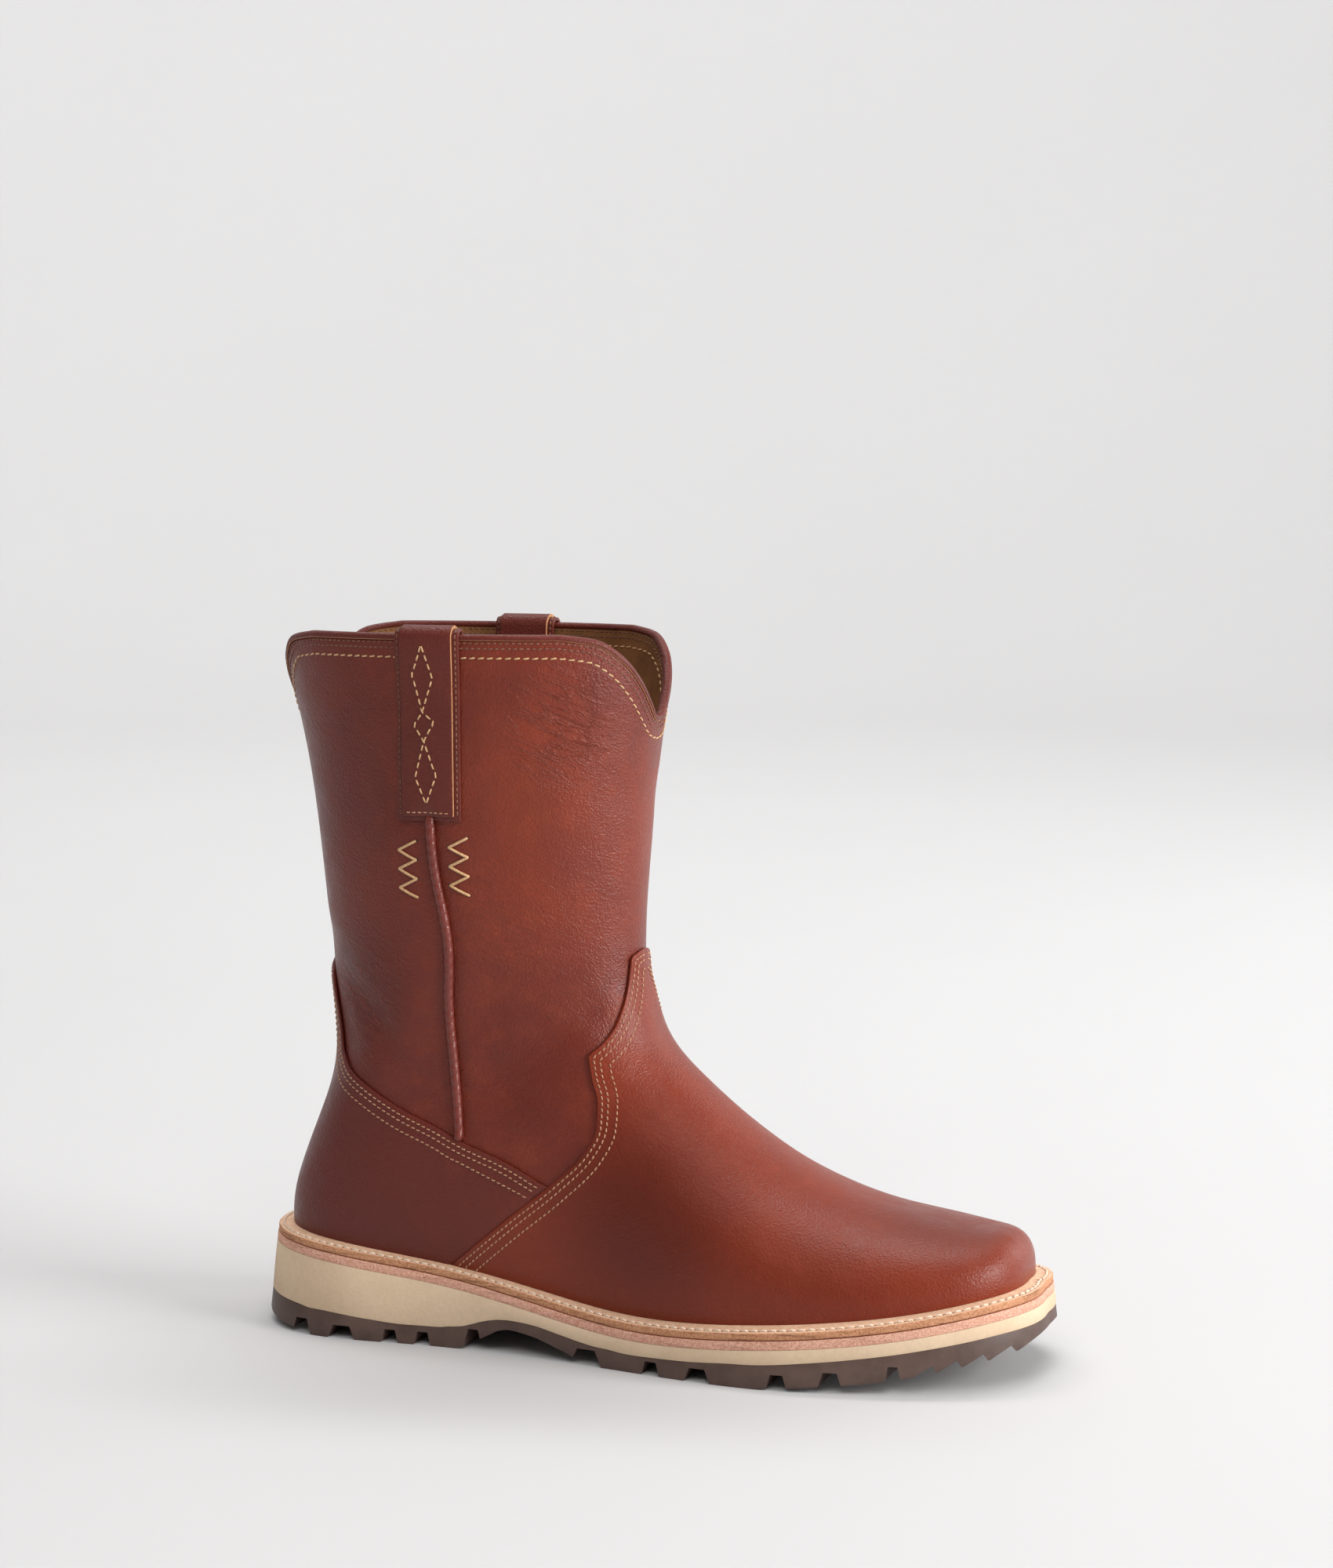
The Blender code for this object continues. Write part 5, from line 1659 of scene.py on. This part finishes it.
def section(height, spread, count=FOOT_ROWS):
    """Closed outline of the upper at a height above the seat, spread outward in plan. It runs
    from the toe along the outer side to the heel and back along the inner side."""
    t = foot_rows(count)
    middle = t[len(t) // 2]
    stretch = (foot_end(height) - middle) / (t[-1] - middle)
    t = np.where(t > middle, middle + (t - middle) * stretch, t)
    t[0] = foot_start(height)
    turn = edge_turn(t, height)
    outer = surface(t, -turn)[:, :2]
    inner = surface(t, turn)[:, :2]
    tip = (outer[0] + inner[0]) / 2
    heel = (outer[-1] + inner[-1]) / 2
    loop = np.vstack([tip, outer[1:-1], heel, inner[-2:0:-1]])
    ahead = np.roll(loop, -1, axis=0) - np.roll(loop, 1, axis=0)
    out = np.stack([-ahead[:, 1], ahead[:, 0]], -1) / np.linalg.norm(ahead, axis=1)[:, None]
    return loop + out * np.reshape(spread, (-1, 1))


SEAT_OUTLINE = section(CLEARANCE, 0.0)


def column(table, index, x):
    """A column of a table whose rows start with a share of the last's length, read at x."""
    rows = np.array(table)
    return glide(x, along(rows[:, 0]), rows[:, index])


def ledge():
    """How far the welt stands out past the foot of the upper, for each point of the outline."""
    x = SEAT_OUTLINE[:, 0]
    outer = column(LEDGE_LINE, 1, x)
    inner = column(LEDGE_LINE, 2, x)
    half = len(x) // 2
    share = np.where(np.arange(len(x)) <= half, outer, inner)
    share[0] = (outer[0] + inner[0]) / 2
    return WELT_LEDGE * share


def tread(x):
    """Height of the tread: flat under the heel and the ball, raised elsewhere."""
    rises = (HEEL_CURL, ARCH_RISE, TOE_SPRING)
    return sum(rise * column(TREAD_LINE, i, x) for i, rise in enumerate(rises, 1))


def rubber_top(x):
    """Height of the line between the rubber outsole and the foam midsole."""
    return tread(x) + RUBBER * column(TREAD_LINE, 4, x)


def leather_low(x):
    """Height of the line between the foam midsole and the leather midsole."""
    return seat(x) - MIDSOLE_LEATHER


def layer_outline(height, out=0.0):
    """Outline of the sole's side where it crosses a line of heights: the side leans out on
    its way down from the welt."""
    x = SEAT_OUTLINE[:, 0]
    drop = seat(x) + CLEARANCE + WELT - height(x)
    return section(CLEARANCE, ledge() + SIDE_LEAN * drop + out)


LAYER_RINGS = [
    # share of the height, roundings above it, roundings in from the side, share of the bulge
    (0.0, 0, 1.0, 0.0),
    (0.0, 0, 0.3, 0.0),
    (0.0, 1, 0.0, 0.4),
    (0.5, 0, 0.0, 1.0),
    (1.0, -1, 0.0, 0.4),
    (1.0, 0, 0.3, 0.0),
    (1.0, 0, 1.0, 0.0),
]


def layer(low, high, rounding, bulge=0.0):
    """Rings of a layer of the sole, from below up, with rounded rims and a swelling side."""
    rings = []
    for share, lifts, inset, swell in LAYER_RINGS:

        def height(x, share=share, lifts=lifts):
            bottom, top = low(x), high(x)
            gap = np.minimum(rounding, (top - bottom) * RIM_SHARE)
            return bottom + (top - bottom) * share + gap * lifts

        loop = layer_outline(height, bulge * swell - rounding * inset)
        rings.append(np.column_stack([loop, height(loop[:, 0])]))
    return np.array(rings)


def capped_layer(name, rings, material, slot, stands_for):
    """Piece of a layer from its rings, closed level across the foot at both ends."""
    count = rings.shape[1]
    half = count // 2
    faces = grid_faces(len(rings), count, True)
    last = (len(rings) - 1) * count
    for i in range(half):
        a, b, c, d = i, i + 1, count - i - 1, (count - i) % count
        ring = [a, b, c] if i == 0 else [a, b, d] if i == half - 1 else [a, b, c, d]
        faces.append(tuple(ring))
        faces.append(tuple(last + k for k in reversed(ring)))
    thing = piece(name, rings, faces, (material,), slot, stands_for)
    outward(thing.data)
    sharp(thing, 42)
    return thing


def make_midsoles():
    """The leather midsole that carries the upper, and the foam wedge under it."""
    capped_layer(
        "midsole_leather_layer",
        layer(lambda x: leather_low(x) + LAYER_GAP, seat, LEATHER_ROUND, LEATHER_SWELL),
        MATERIALS["midsole_edge"],
        "midsole_leather",
        ("midsole_leather",),
    )
    capped_layer(
        "midsole_foam_wedge",
        layer(lambda x: rubber_top(x) + LAYER_GAP, leather_low, FOAM_ROUND, FOAM_SWELL),
        MATERIALS["foam"],
        "midsole_foam",
        ("midsole_wedge",),
    )


WELT_SECTION = [
    # share of the way out, height in millimetres, and whether the side after it takes the darker edge
    # leather: on the outer edge, and on the groove as painted shade
    (0.00, 0.10, 0),
    (0.00, 3.95, 0),
    (0.07, 4.05, 0),
    (0.16, 3.85, 0),
    (0.30, 3.45, 0),
    (0.46, 3.15, 0),
    (0.56, 3.02, 0),
    (0.60, 2.92, 1),
    (0.63, 2.66, 1),
    (0.66, 2.58, 1),
    (0.70, 2.62, 1),
    (0.735, 2.84, 0),
    (0.78, 2.90, 0),
    (0.90, 2.80, 0),
    (0.955, 2.68, 1),
    (0.99, 2.42, 1),
    (1.00, 2.05, 1),
    (1.002, 1.00, 1),
    (1.002, 0.40, 1),
    (0.985, 0.10, 1),
]
WELT_GROOVE = (0.665, 2.78)


def welt_point(share, height):
    """Ring of points at a share of the way across the welt and a height above its foot."""
    inner = section(CLEARANCE + WELT_INNER_RISE, OVERLAY + LAYER_GAP)
    outer = section(CLEARANCE, ledge())
    loop = inner * (1 - share) + outer * share
    return np.column_stack([loop, seat(loop[:, 0]) + CLEARANCE + height * 0.001])


def make_welt():
    """The welt, with its sewn groove and its rounded outer edge; the groove takes the darker edge leather as
    painted shade.
    """
    rings = np.array([welt_point(share, height) for share, height, _ in WELT_SECTION])
    count = rings.shape[1]
    faces = grid_faces(len(rings), count, True)
    last = (len(rings) - 1) * count
    faces += [(i, (i + 1) % count, last + (i + 1) % count, last + i)[::-1] for i in range(count)]
    index = np.repeat([row[2] for row in WELT_SECTION[:-1]] + [0], count)
    thing = piece(
        "welt_strip",
        rings,
        faces,
        (MATERIALS["welt_top"], MATERIALS["welt_edge"]),
        "welt_leather",
        ("welt",),
    )
    thing.data.polygons.foreach_set("material_index", index.astype(np.int32))
    outward(thing.data)
    groove = welt_point(*WELT_GROOVE)
    up = np.tile((0.0, 0.0, 1.0), (len(groove), 1))
    pale = MATERIALS["pale_thread"]
    stitches("welt_stitches", [(groove, up)], WELT_STITCH, pale, "welt_leather", 0.0, True, WELT_THREAD_LIFT)


def channel_y(x, side):
    """Middle of the lengthwise channel in the tread, on one side of the foot."""
    loop = layer_outline(tread)
    half = len(loop) // 2
    edge = loop[: half + 1] if side < 0 else np.vstack([loop[half:], loop[:1]])
    order = np.argsort(edge[:, 0])
    return CHANNEL_SHARE * np.interp(x, edge[order, 0], edge[order, 1])


def trapezium(middle, mouth, floor):
    """Four places of a groove's section, wider at its mouth: across it and up."""
    root = mouth * GROOVE_TAPER
    return [
        (middle - mouth / 2, floor - GROOVE_REACH),
        (middle + mouth / 2, floor - GROOVE_REACH),
        (middle + root / 2, floor + LUG_DEPTH),
        (middle - root / 2, floor + LUG_DEPTH),
    ]


def groove_solids():
    """Rings of every groove in the tread: notches, slots, channels and the toe's teeth."""
    solids = []
    for share, width in NOTCH_LINE:
        x = along(share)
        shape = trapezium(x, width * NOTCH_WIDTH, tread(x))
        for side in (-1, 1):
            ends_y = (side * BALL_WIDTH, channel_y(x, side))
            solids.append([[(a, y, z) for a, z in shape] for y in ends_y])
    for share in SLOT_LINE:
        x = along(share)
        shape = trapezium(x, SLOT_WIDTH, tread(x))
        solids.append([[(a, y, z) for a, z in shape] for y in (channel_y(x, -1), channel_y(x, 1))])
    channels = []
    for start, stop in CHANNEL_LINE:
        for side in (-1, 1):
            stations = np.linspace(along(start), along(stop), CHANNEL_STATIONS)
            rings = []
            for x in stations:
                shape = trapezium(channel_y(x, side), CHANNEL_WIDTH, tread(x))
                rings.append([(x, y, z) for y, z in shape])
            channels.append(rings)
    teeth = []
    for k in range(TEETH):
        start = along(TEETH_FROM) + k * TOOTH_PITCH + TOOTH_LAND
        stop = along(TEETH_FROM) + (k + 1) * TOOTH_PITCH
        top = stop - TOOTH_LEAN
        shape = [
            (start, tread(start) - GROOVE_REACH),
            (stop, tread(stop) - GROOVE_REACH),
            (stop, tread(stop)),
            (top, tread(top) + TOOTH_DEPTH),
            (start, tread(start)),
        ]
        teeth.append([[(x, y, z) for x, z in shape] for y in (-BALL_WIDTH, BALL_WIDTH)])
    return solids, channels, teeth


def cutter(name, solids):
    """Cutting solid from closed runs of rings."""
    points = []
    faces = []
    for rings in solids:
        count = len(rings[0])
        start = len(points)
        for ring in rings:
            points += [tuple(map(float, point)) for point in ring]
        last = start + (len(rings) - 1) * count
        faces.append(tuple(start + i for i in reversed(range(count))))
        faces.append(tuple(last + i for i in range(count)))
        for k in range(start, last, count):
            for i in range(count):
                after = (i + 1) % count
                faces.append((k + i, k + after, k + count + after, k + count + i))
    mesh = bpy.data.meshes.new(name)
    mesh.from_pydata(points, [], faces)
    outward(mesh)
    thing = bpy.data.objects.new(name, mesh)
    bpy.context.scene.collection.objects.link(thing)
    return thing


def make_outsole():
    """The rubber outsole: heel, arch and forefoot in one, with lugs cut into its tread."""
    rings = layer(tread, rubber_top, RUBBER_ROUND)
    sole = capped_layer("outsole_rubber", rings, MATERIALS["rubber"], "outsole_rubber", ("outsole",))
    names = ("notches", "channels", "teeth")
    cutters = [cutter(name, solids) for name, solids in zip(names, groove_solids())]
    for tool in cutters:
        cutting = sole.modifiers.new(tool.name, "BOOLEAN")
        cutting.operation = "DIFFERENCE"
        cutting.solver = "EXACT"
        cutting.object = tool
    bpy.context.view_layer.update()
    done = bpy.data.meshes.new_from_object(sole.evaluated_get(bpy.context.evaluated_depsgraph_get()))
    sole.modifiers.clear()
    sole.data = done
    for tool in cutters:
        bpy.data.objects.remove(tool, do_unlink=True)
    done.shade_smooth()
    sharp(sole, 35)
    worn_edge(sole, LUG_WORN)


def make_stage():
    """Pale floor that sweeps up into a backdrop, the world's fill and the studio's lights."""
    material, tree, shader, where = start_material("studio_paper", 0.75, Specular_IOR_Level=0.2)
    faint = noise(tree, where, 2.0)
    colour = mix(tree, faint, (0.600, 0.595, 0.595), (0.620, 0.615, 0.615))
    tree.links.new(colour, shader.inputs["Base Color"])
    profile = [(STAGE_FLAT * k / FLAT_RINGS, 0.0) for k in range(FLAT_RINGS + 1)]
    for k in range(1, SWEEP_RINGS + 1):
        angle = k / SWEEP_RINGS * math.pi / 2
        profile.append((STAGE_FLAT + STAGE_SWEEP * math.sin(angle), STAGE_SWEEP * (1 - math.cos(angle))))
    profile.append((STAGE_FLAT + STAGE_SWEEP, STAGE_HEIGHT))
    around = np.arange(STAGE_SIDES) * 2 * math.pi / STAGE_SIDES
    points = np.array(
        [[(r * math.cos(a), r * math.sin(a), z - FLOOR_GAP) for a in around] for r, z in profile]
    )
    mesh = bpy.data.meshes.new("studio_floor")
    mesh.from_pydata(points.reshape(-1, 3).tolist(), [], grid_faces(*points.shape[:2], True))
    mesh.shade_smooth()
    mesh.materials.append(material)
    floor = bpy.data.objects.new("studio_floor", mesh)
    bpy.context.scene.collection.objects.link(floor)
    world = bpy.data.worlds.new("studio")
    world.use_nodes = True
    sky = world.node_tree.nodes["Background"]
    sky.inputs["Color"].default_value = (1.0, 0.99, 0.98, 1.0)
    sky.inputs["Strength"].default_value = WORLD_LIGHT
    bpy.context.scene.world = world
    bpy.context.scene.view_settings.view_transform = "Standard"
    for name, place_at, aim, size, power, shows in LIGHTS:
        lamp = bpy.data.lights.new(name, "AREA")
        lamp.shape = "RECTANGLE"
        lamp.size, lamp.size_y = size
        lamp.energy = power
        thing = bpy.data.objects.new(name, lamp)
        thing.location = place_at
        thing.visible_glossy = shows
        bpy.context.scene.collection.objects.link(thing)
        way = np.array(aim, float) - np.array(place_at, float)
        flat = math.hypot(way[0], way[1])
        tilt = math.pi / 2 + math.atan2(way[2], flat)
        thing.rotation_euler = (tilt, 0.0, math.atan2(-way[0], way[1]))


make_upper()
make_vamp()
make_counter()
make_binding()
make_straps()
make_strap_stitches()
make_piping()
make_zigzags()
make_overlay_stitches()
make_collar_stitches()
make_midsoles()
make_welt()
make_outsole()
make_stage()

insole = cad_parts["insole"]
insole.data.materials.clear()
insole.data.materials.append(MATERIALS["insole"])
